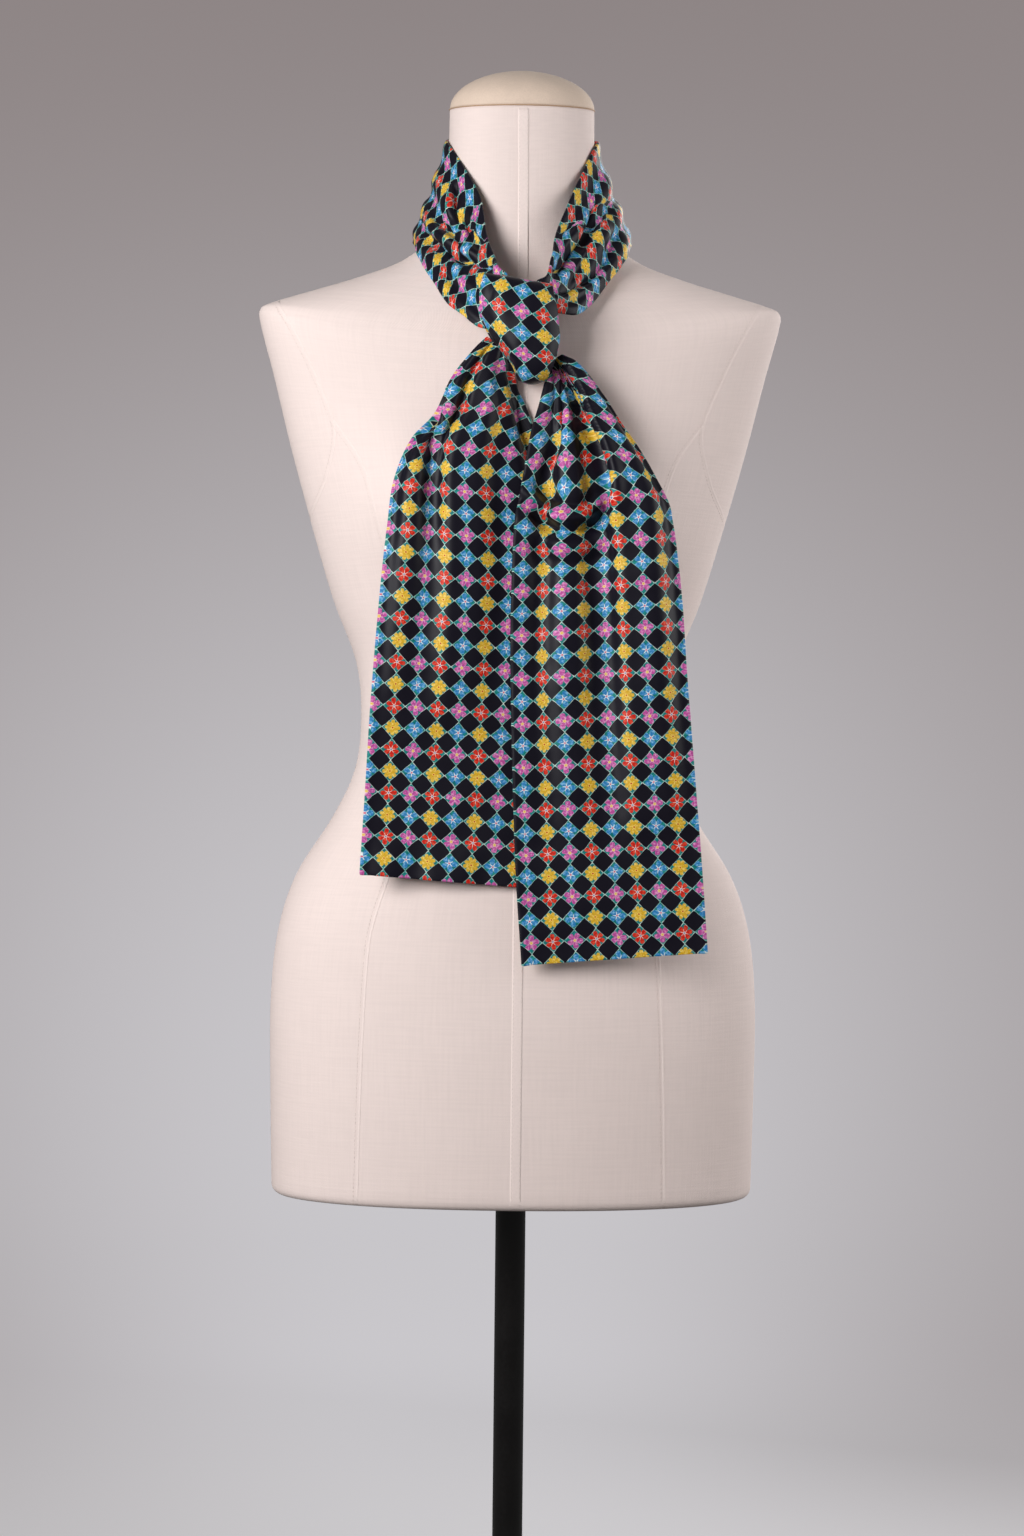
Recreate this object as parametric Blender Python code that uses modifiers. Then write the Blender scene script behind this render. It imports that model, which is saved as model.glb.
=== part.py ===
"""Silk cravat tied on a covered dress form that stands on a round foot.

Metres, +Z up. The form faces -Y, +X is the viewer's right, and the origin is on the floor, in the middle of the foot.
The cravat is one flat tube of cloth. It goes once round the neck, is knotted in front, and hangs in two tails.
"""

import math

import bmesh
import bpy
import numpy as np
from mathutils import Vector

# The stand and the form.
FOOT_RADIUS = 0.200
FOOT_THICK = 0.005
FOOT_BEVEL = 0.0015
POLE_RADIUS = 0.0108
POLE_PLATE_RADIUS = 0.045  # the plate at the top of the pole, which the form is fixed to
POLE_PLATE_THICK = 0.005
TORSO_BOTTOM = 0.814
CAP_HEIGHT = 0.027
SEAM_GAP = 0.0003

# The torso's sections from the hips to the top of the neck. Each is a ring whose side, front and back points
# have heights of their own, because the shoulders slope:
# side height, half width, front height, front depth, back height, back depth, roundness, saddle.
# Roundness 1 is an ellipse and less is squarer. Saddle 2 rounds a ring over the shoulder, and 1 keeps it flat.
TORSO_SECTIONS = (
    (TORSO_BOTTOM, 0.1720, TORSO_BOTTOM, 0.1020, TORSO_BOTTOM, 0.1090, 0.92, 1.0),
    (0.884, 0.1735, 0.884, 0.1050, 0.884, 0.1130, 0.92, 1.0),
    (0.953, 0.1740, 0.953, 0.1055, 0.953, 0.1150, 0.92, 1.0),
    (1.003, 0.1690, 1.003, 0.1030, 1.003, 0.1110, 0.92, 1.0),
    (1.043, 0.1560, 1.043, 0.0990, 1.043, 0.1020, 0.94, 1.0),
    (1.083, 0.1310, 1.083, 0.0940, 1.083, 0.0880, 0.96, 1.0),
    (1.118, 0.1150, 1.118, 0.0900, 1.118, 0.0780, 0.97, 1.0),
    (1.156, 0.1110, 1.156, 0.0870, 1.156, 0.0740, 0.97, 1.0),
    (1.195, 0.1150, 1.195, 0.0875, 1.195, 0.0760, 0.96, 1.0),
    (1.240, 0.1320, 1.240, 0.0910, 1.240, 0.0820, 0.95, 1.0),
    (1.298, 0.1495, 1.298, 0.0945, 1.298, 0.0900, 0.94, 1.0),
    (1.350, 0.1640, 1.346, 0.0940, 1.348, 0.0960, 0.94, 1.5),
    (1.400, 0.1765, 1.384, 0.0900, 1.390, 0.0980, 0.95, 2.0),
    (1.436, 0.1862, 1.410, 0.0855, 1.420, 0.0970, 0.97, 2.0),
    (1.4475, 0.1868, 1.424, 0.0815, 1.437, 0.0950, 1.00, 2.0),
    (1.4525, 0.1780, 1.434, 0.0780, 1.449, 0.0925, 1.02, 2.0),
    (1.4610, 0.1500, 1.445, 0.0735, 1.463, 0.0880, 1.03, 2.0),
    (1.4710, 0.1170, 1.455, 0.0685, 1.478, 0.0810, 1.02, 2.0),
    (1.4835, 0.0850, 1.465, 0.0635, 1.494, 0.0720, 1.00, 2.0),
    (1.5020, 0.0640, 1.478, 0.0585, 1.512, 0.0620, 1.00, 1.7),
    (1.5280, 0.0545, 1.504, 0.0555, 1.538, 0.0530, 1.00, 1.3),
    (1.5600, 0.0525, 1.546, 0.0555, 1.572, 0.0470, 1.00, 1.0),
    (1.5930, 0.0520, 1.5855, 0.0570, 1.5995, 0.0430, 1.00, 1.0),
)
TORSO_RINGS = 44
TORSO_POINTS = 36

# The bust: two soft mounds on the front.
BUST_APART = 0.082
BUST_HEIGHT = 1.298
BUST_RISE = 0.026
BUST_SPREAD_X = 0.040
BUST_SPREAD_Z = 0.048

# The cloth.
CLOTH_WIDTH = 0.125
CLOTH_THICK = 0.0016
TIGHTEST_FOLD = 1.45  # the most that a fold turns the cloth, in radians

# The edges of each stretch of the cravat, as the points that a smooth line runs through.
BAND_UPPER = (
    (-0.0100, -0.1050, 1.4590),
    (-0.0155, -0.1010, 1.4640),
    (-0.0190, -0.0900, 1.4740),
    (-0.0242, -0.0740, 1.4904),
    (-0.0290, -0.0560, 1.5192),
    (-0.0410, -0.0385, 1.5440),
    (-0.0520, -0.0160, 1.5640),
    (-0.0530, 0.0120, 1.5730),
    (-0.0360, 0.0400, 1.5800),
    (0.0000, 0.0495, 1.5820),
    (0.0360, 0.0400, 1.5800),
    (0.0530, 0.0120, 1.5730),
    (0.0515, -0.0180, 1.5610),
    (0.0430, -0.0370, 1.5400),
    (0.0330, -0.0560, 1.5150),
    (0.0240, -0.0750, 1.4885),
    (0.0220, -0.0910, 1.4725),
    (0.0190, -0.1020, 1.4590),
    (0.0120, -0.1050, 1.4545),
)
BAND_LOWER = (
    (-0.0140, -0.1060, 1.4220),
    (-0.0280, -0.1020, 1.4240),
    (-0.0400, -0.0940, 1.4340),
    (-0.0500, -0.0840, 1.4425),
    (-0.0590, -0.0710, 1.4575),
    (-0.0680, -0.0530, 1.4730),
    (-0.0742, -0.0250, 1.4900),
    (-0.0740, 0.0080, 1.4990),
    (-0.0520, 0.0600, 1.5040),
    (0.0000, 0.0790, 1.5030),
    (0.0520, 0.0600, 1.5040),
    (0.0760, 0.0080, 1.5000),
    (0.0765, -0.0230, 1.4895),
    (0.0700, -0.0500, 1.4740),
    (0.0600, -0.0680, 1.4590),
    (0.0500, -0.0820, 1.4440),
    (0.0390, -0.0940, 1.4345),
    (0.0260, -0.1020, 1.4340),
    (0.0140, -0.1060, 1.4340),
)
LEFT_TAIL_OUTER = (
    (-0.0225, -0.1050, 1.4150),
    (-0.0312, -0.1070, 1.4060),
    (-0.0450, -0.1080, 1.3880),
    (-0.0570, -0.1090, 1.3640),
    (-0.0730, -0.1110, 1.3440),
    (-0.0840, -0.1150, 1.3160),
    (-0.0880, -0.1180, 1.2860),
    (-0.0925, -0.1190, 1.2400),
    (-0.0980, -0.1160, 1.1680),
    (-0.1020, -0.1120, 1.0960),
    (-0.1050, -0.1080, 1.0463),
)
LEFT_TAIL_INNER = (
    (-0.0080, -0.1050, 1.4020),
    (-0.0050, -0.1045, 1.3940),
    (-0.0010, -0.1020, 1.3790),
    (0.0060, -0.0990, 1.3660),
    (0.0130, -0.0990, 1.3460),
    (0.0200, -0.1010, 1.3180),
    (0.0250, -0.1030, 1.2860),
    (0.0275, -0.1050, 1.2400),
    (0.0260, -0.1060, 1.1640),
    (0.0230, -0.1050, 1.0900),
    (0.0190, -0.1040, 1.0374),
)
RIGHT_TAIL_INNER = (
    (0.0190, -0.1060, 1.3970),
    (0.0190, -0.1080, 1.3870),
    (0.0150, -0.1130, 1.3700),
    (0.0105, -0.1180, 1.3540),
    (0.0070, -0.1220, 1.3360),
    (0.0020, -0.1260, 1.3050),
    (-0.0012, -0.1270, 1.2860),
    (-0.0028, -0.1280, 1.2400),
    (-0.0027, -0.1260, 1.1800),
    (0.0015, -0.1220, 1.0600),
    (0.0067, -0.1180, 0.9856),
)
RIGHT_TAIL_OUTER = (
    (0.0300, -0.1060, 1.4030),
    (0.0430, -0.1080, 1.3935),
    (0.0570, -0.1100, 1.3760),
    (0.0700, -0.1120, 1.3550),
    (0.0830, -0.1140, 1.3370),
    (0.1000, -0.1190, 1.3050),
    (0.1050, -0.1210, 1.2860),
    (0.1110, -0.1230, 1.2400),
    (0.1158, -0.1220, 1.1800),
    (0.1265, -0.1180, 1.0600),
    (0.1318, -0.1140, 0.9952),
)

# Where each stretch folds: place across the width from 0 to 1, half width of the bend, and which way and
# how strongly it turns, towards the viewer if above 0.
BAND_FOLDS = (
    (0.10, 0.10, -0.35),
    (0.27, 0.09, 0.60),
    (0.43, 0.09, -0.80),
    (0.58, 0.09, 0.90),
    (0.72, 0.07, -0.60),
    (0.84, 0.07, 0.50),
    (0.95, 0.07, -0.90),
)
LEFT_TAIL_FOLDS = (
    (0.06, 0.07, 0.80),
    (0.20, 0.08, -0.70),
    (0.34, 0.09, 0.90),
    (0.62, 0.10, -0.45),
    (0.90, 0.12, -0.60),
)
RIGHT_TAIL_FOLDS = (
    (0.10, 0.08, -0.60),
    (0.24, 0.08, 0.75),
    (0.42, 0.08, -0.60),
    (0.60, 0.09, 1.00),
    (0.92, 0.11, -0.90),
)
# The most cloth that lies between the two edges, as a multiple of the distance between them.
BAND_FULLNESS = 1.035
LEFT_TAIL_FULLNESS = 1.16
RIGHT_TAIL_FULLNESS = 1.38
BAND_COUNTS = (16, 44)
TAIL_COUNTS = (20, 26)

# The knot: the cloth comes over the top, falls down the front and rounds under.
# Its left and right edges, as the places that a smooth line runs through from the bottom to the top.
KNOT_TOP = 1.4580
KNOT_BOTTOM = 1.3840
KNOT_FRONT = -0.1265
KNOT_BACK = -0.0935
KNOT_LEFT = (0.0000, -0.0050, -0.0130, -0.0200, -0.0245, -0.0265, -0.0265, -0.0240)
KNOT_RIGHT = (0.0180, 0.0225, 0.0248, 0.0260, 0.0255, 0.0245, 0.0225, 0.0210)
KNOT_TURN = 3.95  # how far round the crossing it goes, in radians
KNOT_CURL = 0.0080  # how far its side edges turn back
KNOT_SLANT = 0.0070  # its top is this much lower on the right
KNOT_ROUND = 0.0030  # its bottom corners are this much higher than the middle
KNOT_COUNTS = (22, 12)

COLOURS = {
    "linen": (0.86, 0.80, 0.74),
    "cap": (0.80, 0.70, 0.58),
    "black_metal": (0.012, 0.010, 0.010),
    "print": (0.020, 0.016, 0.030),
}


def material(name, roughness, metallic=0.0):
    """The Principled material of this name, made on first use."""
    found = bpy.data.materials.get(name)
    if found:
        return found
    made = bpy.data.materials.new(name)
    made.use_nodes = True
    shader = made.node_tree.nodes["Principled BSDF"]
    shader.inputs["Base Color"].default_value = (*COLOURS[name], 1.0)
    shader.inputs["Roughness"].default_value = roughness
    shader.inputs["Metallic"].default_value = metallic
    return made


def add_object(name, mesh, collection, look):
    """A named object in the collection, with its material."""
    made = bpy.data.objects.new(name, mesh)
    mesh.materials.append(look)
    collection.objects.link(made)
    return made


def through(points, count):
    """Points along a smooth line through the given ones: a Catmull-Rom spline, evenly divided by its knots."""
    knots = np.array(points, float)
    ends = np.vstack([2 * knots[0] - knots[1], knots, 2 * knots[-1] - knots[-2]])
    at = np.linspace(0, len(knots) - 1, count)
    i = np.minimum(at.astype(int), len(knots) - 2)
    f = (at - i)[:, None]
    before, here, after, beyond = (ends[i + k] for k in range(4))
    return 0.5 * (
        2 * here
        + (after - before) * f
        + (2 * before - 5 * here + 4 * after - beyond) * f**2
        + (3 * here - before - 3 * after + beyond) * f**3
    )


# ---------------------------------------------------------------- the form


def torso_ring(section):
    """The points of one ring of the torso, anticlockwise from its +X side."""
    side_z, half_width, front_z, front, back_z, back, roundness, saddle = section
    angle = np.linspace(0, 2 * math.pi, TORSO_POINTS, endpoint=False)
    across, along = np.cos(angle), np.sin(angle)
    x = half_width * np.sign(across) * np.abs(across) ** roundness
    deep = np.abs(along) ** roundness
    y = np.where(along < 0, -front * deep, back * deep)
    drop = np.abs(along) ** saddle
    z = side_z + drop * np.where(along < 0, front_z - side_z, back_z - side_z)
    mound = np.exp(
        -(((np.abs(x) - BUST_APART) / BUST_SPREAD_X) ** 2)
        - ((z - BUST_HEIGHT) / BUST_SPREAD_Z) ** 2
    )
    y = np.where(along < 0, y - BUST_RISE * mound * deep, y)
    return np.column_stack([x, y, z])


def loft(name, rings):
    """A closed mesh through rings that have the same number of points, with flat ends."""
    bm = bmesh.new()
    rows = [[bm.verts.new(point) for point in ring] for ring in rings]
    count = len(rows[0])
    for low, high in zip(rows, rows[1:]):
        for i in range(count):
            j = (i + 1) % count
            bm.faces.new((low[i], low[j], high[j], high[i]))
    bm.faces.new(rows[0][::-1])
    bm.faces.new(rows[-1])
    mesh = bpy.data.meshes.new(name)
    bm.to_mesh(mesh)
    bm.free()
    return mesh


def torso(collection):
    """The covered body with its neck, and its shoulders ended at the armholes."""
    rings = [torso_ring(section) for section in through(TORSO_SECTIONS, TORSO_RINGS)]
    made = add_object(
        "form_torso", loft("form_torso", rings), collection, material("linen", 0.85)
    )
    made.data.shade_smooth()
    made.data.set_sharp_from_angle(angle=math.radians(50))
    return rings[-1]


def neck_cap(collection, top_ring):
    """A low dome on the top of the neck, leaning forward with it."""
    centre = top_ring.mean(axis=0)
    lean = np.array(Vector(top_ring[TORSO_POINTS // 4] - top_ring[3 * TORSO_POINTS // 4]).normalized())
    up = np.cross([1.0, 0.0, 0.0], lean)
    steps = 6
    rings = []
    for step in range(steps):
        turn = 0.5 * math.pi * step / steps
        rings.append(
            centre
            + (top_ring - centre) * math.cos(turn)
            + up * (SEAM_GAP + CAP_HEIGHT * math.sin(turn))
        )
    mesh = loft("neck_cap", rings)
    bm = bmesh.new()
    bm.from_mesh(mesh)
    bm.faces.ensure_lookup_table()
    bmesh.ops.poke(bm, faces=[bm.faces[-1]])
    bm.verts.ensure_lookup_table()
    bm.verts[-1].co = Vector(centre + up * (SEAM_GAP + CAP_HEIGHT))
    bm.to_mesh(mesh)
    bm.free()
    made = add_object("neck_cap", mesh, collection, material("cap", 0.8))
    made.data.shade_smooth()
    made.data.set_sharp_from_angle(angle=math.radians(50))


def turned(name, profile, collection, look, steps=32):
    """A turned solid: a profile of (radius, height) that runs from the top down, spun about Z."""
    mesh = bpy.data.meshes.new(name)
    points = [(radius, 0.0, height) for radius, height in profile]
    mesh.from_pydata(points, [(i, i + 1) for i in range(len(points) - 1)], [])
    made = add_object(name, mesh, collection, look)
    spin = made.modifiers.new("spin", "SCREW")
    spin.steps = spin.render_steps = steps
    spin.use_merge_vertices = True
    spin.merge_threshold = 0.0001
    return made


def stand(collection):
    """The pole, which ends in a plate under the form, and the round foot that it stands on."""
    metal = material("black_metal", 0.35, 0.6)
    plate_top = TORSO_BOTTOM - SEAM_GAP
    plate_low = plate_top - POLE_PLATE_THICK
    turned(
        "pole",
        [
            (0, plate_top),
            (POLE_PLATE_RADIUS, plate_top),
            (POLE_PLATE_RADIUS, plate_low),
            (POLE_RADIUS, plate_low),
            (POLE_RADIUS, FOOT_THICK + SEAM_GAP),
            (0, FOOT_THICK + SEAM_GAP),
        ],
        collection,
        metal,
    )
    turned(
        "foot",
        [
            (0, FOOT_THICK),
            (FOOT_RADIUS - FOOT_BEVEL, FOOT_THICK),
            (FOOT_RADIUS, FOOT_THICK - FOOT_BEVEL),
            (FOOT_RADIUS, 0),
            (0, 0),
        ],
        collection,
        metal,
        steps=64,
    )


# --------------------------------------------------------------- the cravat


def bend(across, folds):
    """The direction of the cloth's section at each place across it, from -1 to 1."""
    turn = np.zeros_like(across)
    for place, half, strength in folds:
        near = np.clip((across - place) / half, -1, 1)
        turn += strength * np.cos(0.5 * math.pi * near) ** 2
    return turn


def pleated(chord, width, folds, columns):
    """Cloth of this width laid in folds between two points a chord apart: places along it, and out from it."""
    fine = np.linspace(0, 1, 40 * columns + 1)
    turn = bend(0.5 * (fine[1:] + fine[:-1]), folds)
    for angle in np.linspace(0, TIGHTEST_FOLD, 291):
        reach = math.hypot(np.cos(angle * turn).mean(), np.sin(angle * turn).mean())
        if width * reach <= chord:
            break
    along = np.concatenate([[0], np.cumsum(np.cos(angle * turn))])
    out = np.concatenate([[0], np.cumsum(np.sin(angle * turn))])
    reach = math.hypot(along[-1], out[-1])
    cos, sin = along[-1] / reach, out[-1] / reach
    x, y = along * cos + out * sin, out * cos - along * sin
    return x[::40] * chord / reach, y[::40] * chord / reach


def stretch_of_cloth(first_edge, second_edge, folds, fullness, counts):
    """A grid of points for a strip between two edge lines: rows along it, columns across it."""
    columns, rows = counts
    first, second = through(first_edge, rows + 1), through(second_edge, rows + 1)
    run = np.gradient(0.5 * (first + second), axis=0)
    grid = []
    for a, b, along in zip(first, second, run):
        chord = b - a
        length = np.linalg.norm(chord)
        chord = chord / length
        outward = np.cross(along, chord)
        outward /= np.linalg.norm(outward)
        x, y = pleated(length, min(CLOTH_WIDTH, fullness * length), folds, columns)
        grid.append(a + np.outer(x, chord) + np.outer(y, outward))
    return np.array(grid)


def at_height(places, height):
    """The value at a height from 0 to 1, on a smooth line through evenly spaced places."""
    line = through([(place, 0.0) for place in places], 101)[:, 0]
    return float(np.interp(height, np.linspace(0, 1, 101), line))


def knot_grid():
    """A grid of points for the knot: rows from its top, down the front and under, columns from left to right."""
    rows, columns = KNOT_COUNTS
    across = np.linspace(-1, 1, columns + 1)
    grid = []
    for angle in np.linspace(0, KNOT_TURN, rows + 1):
        height = 0.5 + 0.5 * math.copysign(abs(math.cos(angle)) ** 0.75, math.cos(angle))
        front = 0.5 + 0.5 * math.copysign(abs(math.sin(angle)) ** 0.7, math.sin(angle))
        left, right = at_height(KNOT_LEFT, height), at_height(KNOT_RIGHT, height)
        x = left + (right - left) * 0.5 * (1 + across)
        y = KNOT_BACK + (KNOT_FRONT - KNOT_BACK) * front + KNOT_CURL * front * abs(across) ** 3
        z = KNOT_BOTTOM + (KNOT_TOP - KNOT_BOTTOM) * height
        z = z - KNOT_SLANT * height * 0.5 * (1 + across) + KNOT_ROUND * (1 - height) * across**2
        grid.append(np.column_stack([x, y, z]))
    return np.array(grid)


def cloth(name, grid, collection):
    """A wall of cloth on a grid of points."""
    bm = bmesh.new()
    verts = [[bm.verts.new(point) for point in row] for row in grid]
    for here, there in zip(verts, verts[1:]):
        for j in range(len(here) - 1):
            bm.faces.new((here[j], here[j + 1], there[j + 1], there[j]))
    mesh = bpy.data.meshes.new(name)
    bm.to_mesh(mesh)
    bm.free()
    made = add_object(name, mesh, collection, material("print", 0.45))
    wall = made.modifiers.new("wall", "SOLIDIFY")
    wall.thickness = CLOTH_THICK
    wall.offset = 0.0
    mesh.shade_smooth()
    return made


def cravat(collection):
    """The band round the neck, the knot and the two tails."""
    stretches = (
        ("cravat_neck_band", BAND_UPPER, BAND_LOWER, BAND_FOLDS, BAND_FULLNESS, BAND_COUNTS),
        ("cravat_tail_left", LEFT_TAIL_OUTER, LEFT_TAIL_INNER, LEFT_TAIL_FOLDS, LEFT_TAIL_FULLNESS, TAIL_COUNTS),
        ("cravat_tail_right", RIGHT_TAIL_INNER, RIGHT_TAIL_OUTER, RIGHT_TAIL_FOLDS, RIGHT_TAIL_FULLNESS, TAIL_COUNTS),
    )
    for name, *shape in stretches:
        cloth(name, stretch_of_cloth(*shape), collection)
    cloth("cravat_knot", knot_grid(), collection)


def main():
    for old in list(bpy.data.objects):
        bpy.data.objects.remove(old)
    collection = bpy.data.collections.new("cravat_on_dress_form")
    bpy.context.scene.collection.children.link(collection)
    top_ring = torso(collection)
    neck_cap(collection, top_ring)
    stand(collection)
    cravat(collection)


main()
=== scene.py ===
"""Printed silk cravat on a covered dress form: the finished look of each piece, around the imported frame.

Metres, +Z up. The form faces -Y, and +X is the viewer's right.
"""

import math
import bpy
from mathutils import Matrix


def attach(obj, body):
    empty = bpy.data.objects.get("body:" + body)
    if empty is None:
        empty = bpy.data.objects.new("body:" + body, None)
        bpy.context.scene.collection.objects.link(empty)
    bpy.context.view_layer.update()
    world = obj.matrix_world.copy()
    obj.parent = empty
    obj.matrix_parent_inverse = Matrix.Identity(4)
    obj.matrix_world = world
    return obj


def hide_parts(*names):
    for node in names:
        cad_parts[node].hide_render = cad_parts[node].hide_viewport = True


bl_info = {
    "name": "Silk Cravat on a Dress Form",
    "version": (1, 0, 0),
    "blender": (4, 5, 0),
    "location": "3D View > Sidebar > Cravat",
    "description": "Makes a printed silk cravat, tied on a covered dress form on a round foot",
    "category": "Object",
}

import bmesh
import bpy
import numpy as np
from bpy.props import FloatProperty, FloatVectorProperty, PointerProperty
from mathutils import Matrix, Vector
from mathutils.bvhtree import BVHTree

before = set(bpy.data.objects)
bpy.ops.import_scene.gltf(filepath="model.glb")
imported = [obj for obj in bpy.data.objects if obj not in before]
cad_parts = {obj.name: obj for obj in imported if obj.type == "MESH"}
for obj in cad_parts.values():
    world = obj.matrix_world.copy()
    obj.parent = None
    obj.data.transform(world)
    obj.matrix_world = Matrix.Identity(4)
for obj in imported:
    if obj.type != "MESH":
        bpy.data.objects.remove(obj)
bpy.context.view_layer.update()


def metres(sizes):
    """Sizes given in millimetres, to a tenth of one, as metres: a number, or tuples of them."""
    if isinstance(sizes, tuple):
        return tuple(metres(size) for size in sizes)
    return round(10 * sizes) / 10000


# ------------------------------------------------------------ the form's sizes

# The torso's sections from the hips to the top of the neck: side height, half width, front height, front
# depth, back height, back depth, roundness (1 is an ellipse), saddle (2 rounds a ring over the shoulder).
TORSO_BOTTOM = 0.814
TORSO_SECTIONS = (
    (TORSO_BOTTOM, 0.1720, TORSO_BOTTOM, 0.1020, TORSO_BOTTOM, 0.1090, 0.92, 1.0),
    (0.884, 0.1735, 0.884, 0.1050, 0.884, 0.1130, 0.92, 1.0),
    (0.953, 0.1740, 0.953, 0.1055, 0.953, 0.1150, 0.92, 1.0),
    (1.003, 0.1690, 1.003, 0.1030, 1.003, 0.1110, 0.92, 1.0),
    (1.043, 0.1560, 1.043, 0.0990, 1.043, 0.1020, 0.94, 1.0),
    (1.083, 0.1310, 1.083, 0.0940, 1.083, 0.0880, 0.96, 1.0),
    (1.118, 0.1150, 1.118, 0.0900, 1.118, 0.0780, 0.97, 1.0),
    (1.156, 0.1110, 1.156, 0.0870, 1.156, 0.0740, 0.97, 1.0),
    (1.195, 0.1150, 1.195, 0.0875, 1.195, 0.0760, 0.96, 1.0),
    (1.240, 0.1320, 1.240, 0.0910, 1.240, 0.0820, 0.95, 1.0),
    (1.298, 0.1495, 1.298, 0.0945, 1.298, 0.0900, 0.94, 1.0),
    (1.350, 0.1640, 1.346, 0.0940, 1.348, 0.0960, 0.94, 1.5),
    (1.400, 0.1765, 1.384, 0.0900, 1.390, 0.0980, 0.95, 2.0),
    (1.436, 0.1862, 1.410, 0.0855, 1.420, 0.0970, 0.97, 2.0),
    (1.4475, 0.1868, 1.424, 0.0815, 1.437, 0.0950, 1.00, 2.0),
    (1.4525, 0.1780, 1.434, 0.0780, 1.449, 0.0925, 1.02, 2.0),
    (1.4610, 0.1500, 1.445, 0.0735, 1.463, 0.0880, 1.03, 2.0),
    (1.4710, 0.1170, 1.455, 0.0685, 1.478, 0.0810, 1.02, 2.0),
    (1.4835, 0.0850, 1.465, 0.0635, 1.494, 0.0720, 1.00, 2.0),
    (1.5020, 0.0640, 1.478, 0.0585, 1.512, 0.0620, 1.00, 1.7),
    (1.5280, 0.0545, 1.504, 0.0555, 1.538, 0.0530, 1.00, 1.3),
    (1.5600, 0.0525, 1.546, 0.0555, 1.572, 0.0470, 1.00, 1.0),
    (1.5930, 0.0520, 1.5855, 0.0570, 1.5995, 0.0430, 1.00, 1.0),
)
TORSO_RINGS = 250
TORSO_POINTS = 288
BUST_APART = 0.082
BUST_HEIGHT = 1.298
BUST_RISE = 0.026
BUST_SPREAD_X = 0.040
BUST_SPREAD_Z = 0.048
HEM_ROUND = 0.006  # how round the cover's bottom edge is
HEM_RINGS = 6
CAP_HEIGHT = 0.027
CAP_RINGS = 26
PIPING_RADIUS = 0.0004
PIPING_OUT = 0.0002
SEAM_GAP = 0.0003

FOOT_RADIUS = 0.200
FOOT_THICK = 0.005
POLE_RADIUS = 0.0108
PLATE_RADIUS = 0.045
PLATE_THICK = 0.005
HUB = 0.0004  # radius of the flat middle at the ends of a turned part

# ---------------------------------------------------------- the cravat's sizes

CLOTH_WIDTH = 0.125
TIGHTEST_FOLD = 1.45
EDGE_REACH = 0.004  # how far in from a folded edge the cloth is thicker
EDGE_TURNS = (-0.25 * math.pi, 0.0, 0.25 * math.pi)
END_TURNS = (0.45, 0.90, 1.30)
CLEAR_OF_FORM = 0.0030

# The two edges of each stretch in millimetres, as (x, y, z): round the neck, or down a tail.
BAND_UPPER = metres((
    (-10, -105, 1459), (-15.5, -101, 1464), (-19, -90, 1474), (-24.2, -74, 1490.4), (-29, -56, 1519.2),
    (-41, -38.5, 1544), (-52, -16, 1564), (-53, 12, 1573), (-36, 40, 1580), (0, 49.5, 1582),
    (36, 40, 1580), (53, 12, 1573), (51.5, -18, 1561), (43, -37, 1540), (33, -56, 1515),
    (24, -75, 1488.5), (22, -91, 1472.5), (19, -102, 1459), (12, -105, 1454.5),
))
BAND_LOWER = metres((
    (-14, -106, 1422), (-28, -102, 1424), (-40, -94, 1434), (-50, -84, 1442.5), (-59, -71, 1457.5),
    (-68, -53, 1473), (-74.2, -25, 1490), (-74, 8, 1499), (-52, 60, 1504), (0, 79, 1503),
    (52, 60, 1504), (76, 8, 1500), (76.5, -23, 1489.5), (70, -50, 1474), (60, -68, 1459),
    (50, -82, 1444), (39, -94, 1434.5), (26, -102, 1434), (14, -106, 1434),
))
LEFT_TAIL_OUTER = metres((
    (-22.5, -105, 1415), (-31.2, -107, 1406), (-45, -108, 1388), (-57, -109, 1364), (-73, -111, 1344),
    (-84, -115, 1316), (-88, -118, 1286), (-92.5, -119, 1240), (-98, -116, 1168), (-102, -112, 1096),
    (-105, -108, 1046.3),
))
LEFT_TAIL_INNER = metres((
    (-8, -105, 1402), (-5, -104.5, 1394), (-1, -102, 1379), (6, -99, 1366), (13, -99, 1346),
    (20, -101, 1318), (25, -103, 1286), (27.5, -105, 1240), (26, -106, 1164), (23, -105, 1090),
    (19, -104, 1037.4),
))
RIGHT_TAIL_INNER = metres((
    (19, -106, 1397), (19, -108, 1387), (15, -113, 1370), (10.5, -118, 1354), (7, -122, 1336),
    (2, -126, 1305), (-1.2, -127, 1286), (-2.8, -128, 1240), (-2.7, -126, 1180), (1.5, -122, 1060),
    (6.7, -118, 985.6),
))
RIGHT_TAIL_OUTER = metres((
    (30, -106, 1403), (43, -108, 1393.5), (57, -110, 1376), (70, -112, 1355), (83, -114, 1337),
    (100, -119, 1305), (105, -121, 1286), (111, -123, 1240), (115.8, -122, 1180), (126.5, -118, 1060),
    (131.8, -114, 995.2),
))

# Folds: place across the width from 0 to 1, half width of the bend, which way and how strongly it turns.
BAND_FOLDS = (
    (0.10, 0.10, -0.35), (0.27, 0.09, 0.60), (0.43, 0.09, -0.80), (0.58, 0.09, 0.90),
    (0.72, 0.07, -0.60), (0.84, 0.07, 0.50), (0.95, 0.07, -0.90),
)
LEFT_TAIL_FOLDS = (
    (0.06, 0.07, 0.80), (0.20, 0.08, -0.70), (0.34, 0.09, 0.90), (0.62, 0.10, -0.45), (0.90, 0.12, -0.60),
)
RIGHT_TAIL_FOLDS = (
    (0.10, 0.08, -0.60), (0.24, 0.08, 0.75), (0.42, 0.08, -0.60), (0.60, 0.09, 1.00), (0.92, 0.11, -0.90),
)
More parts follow.
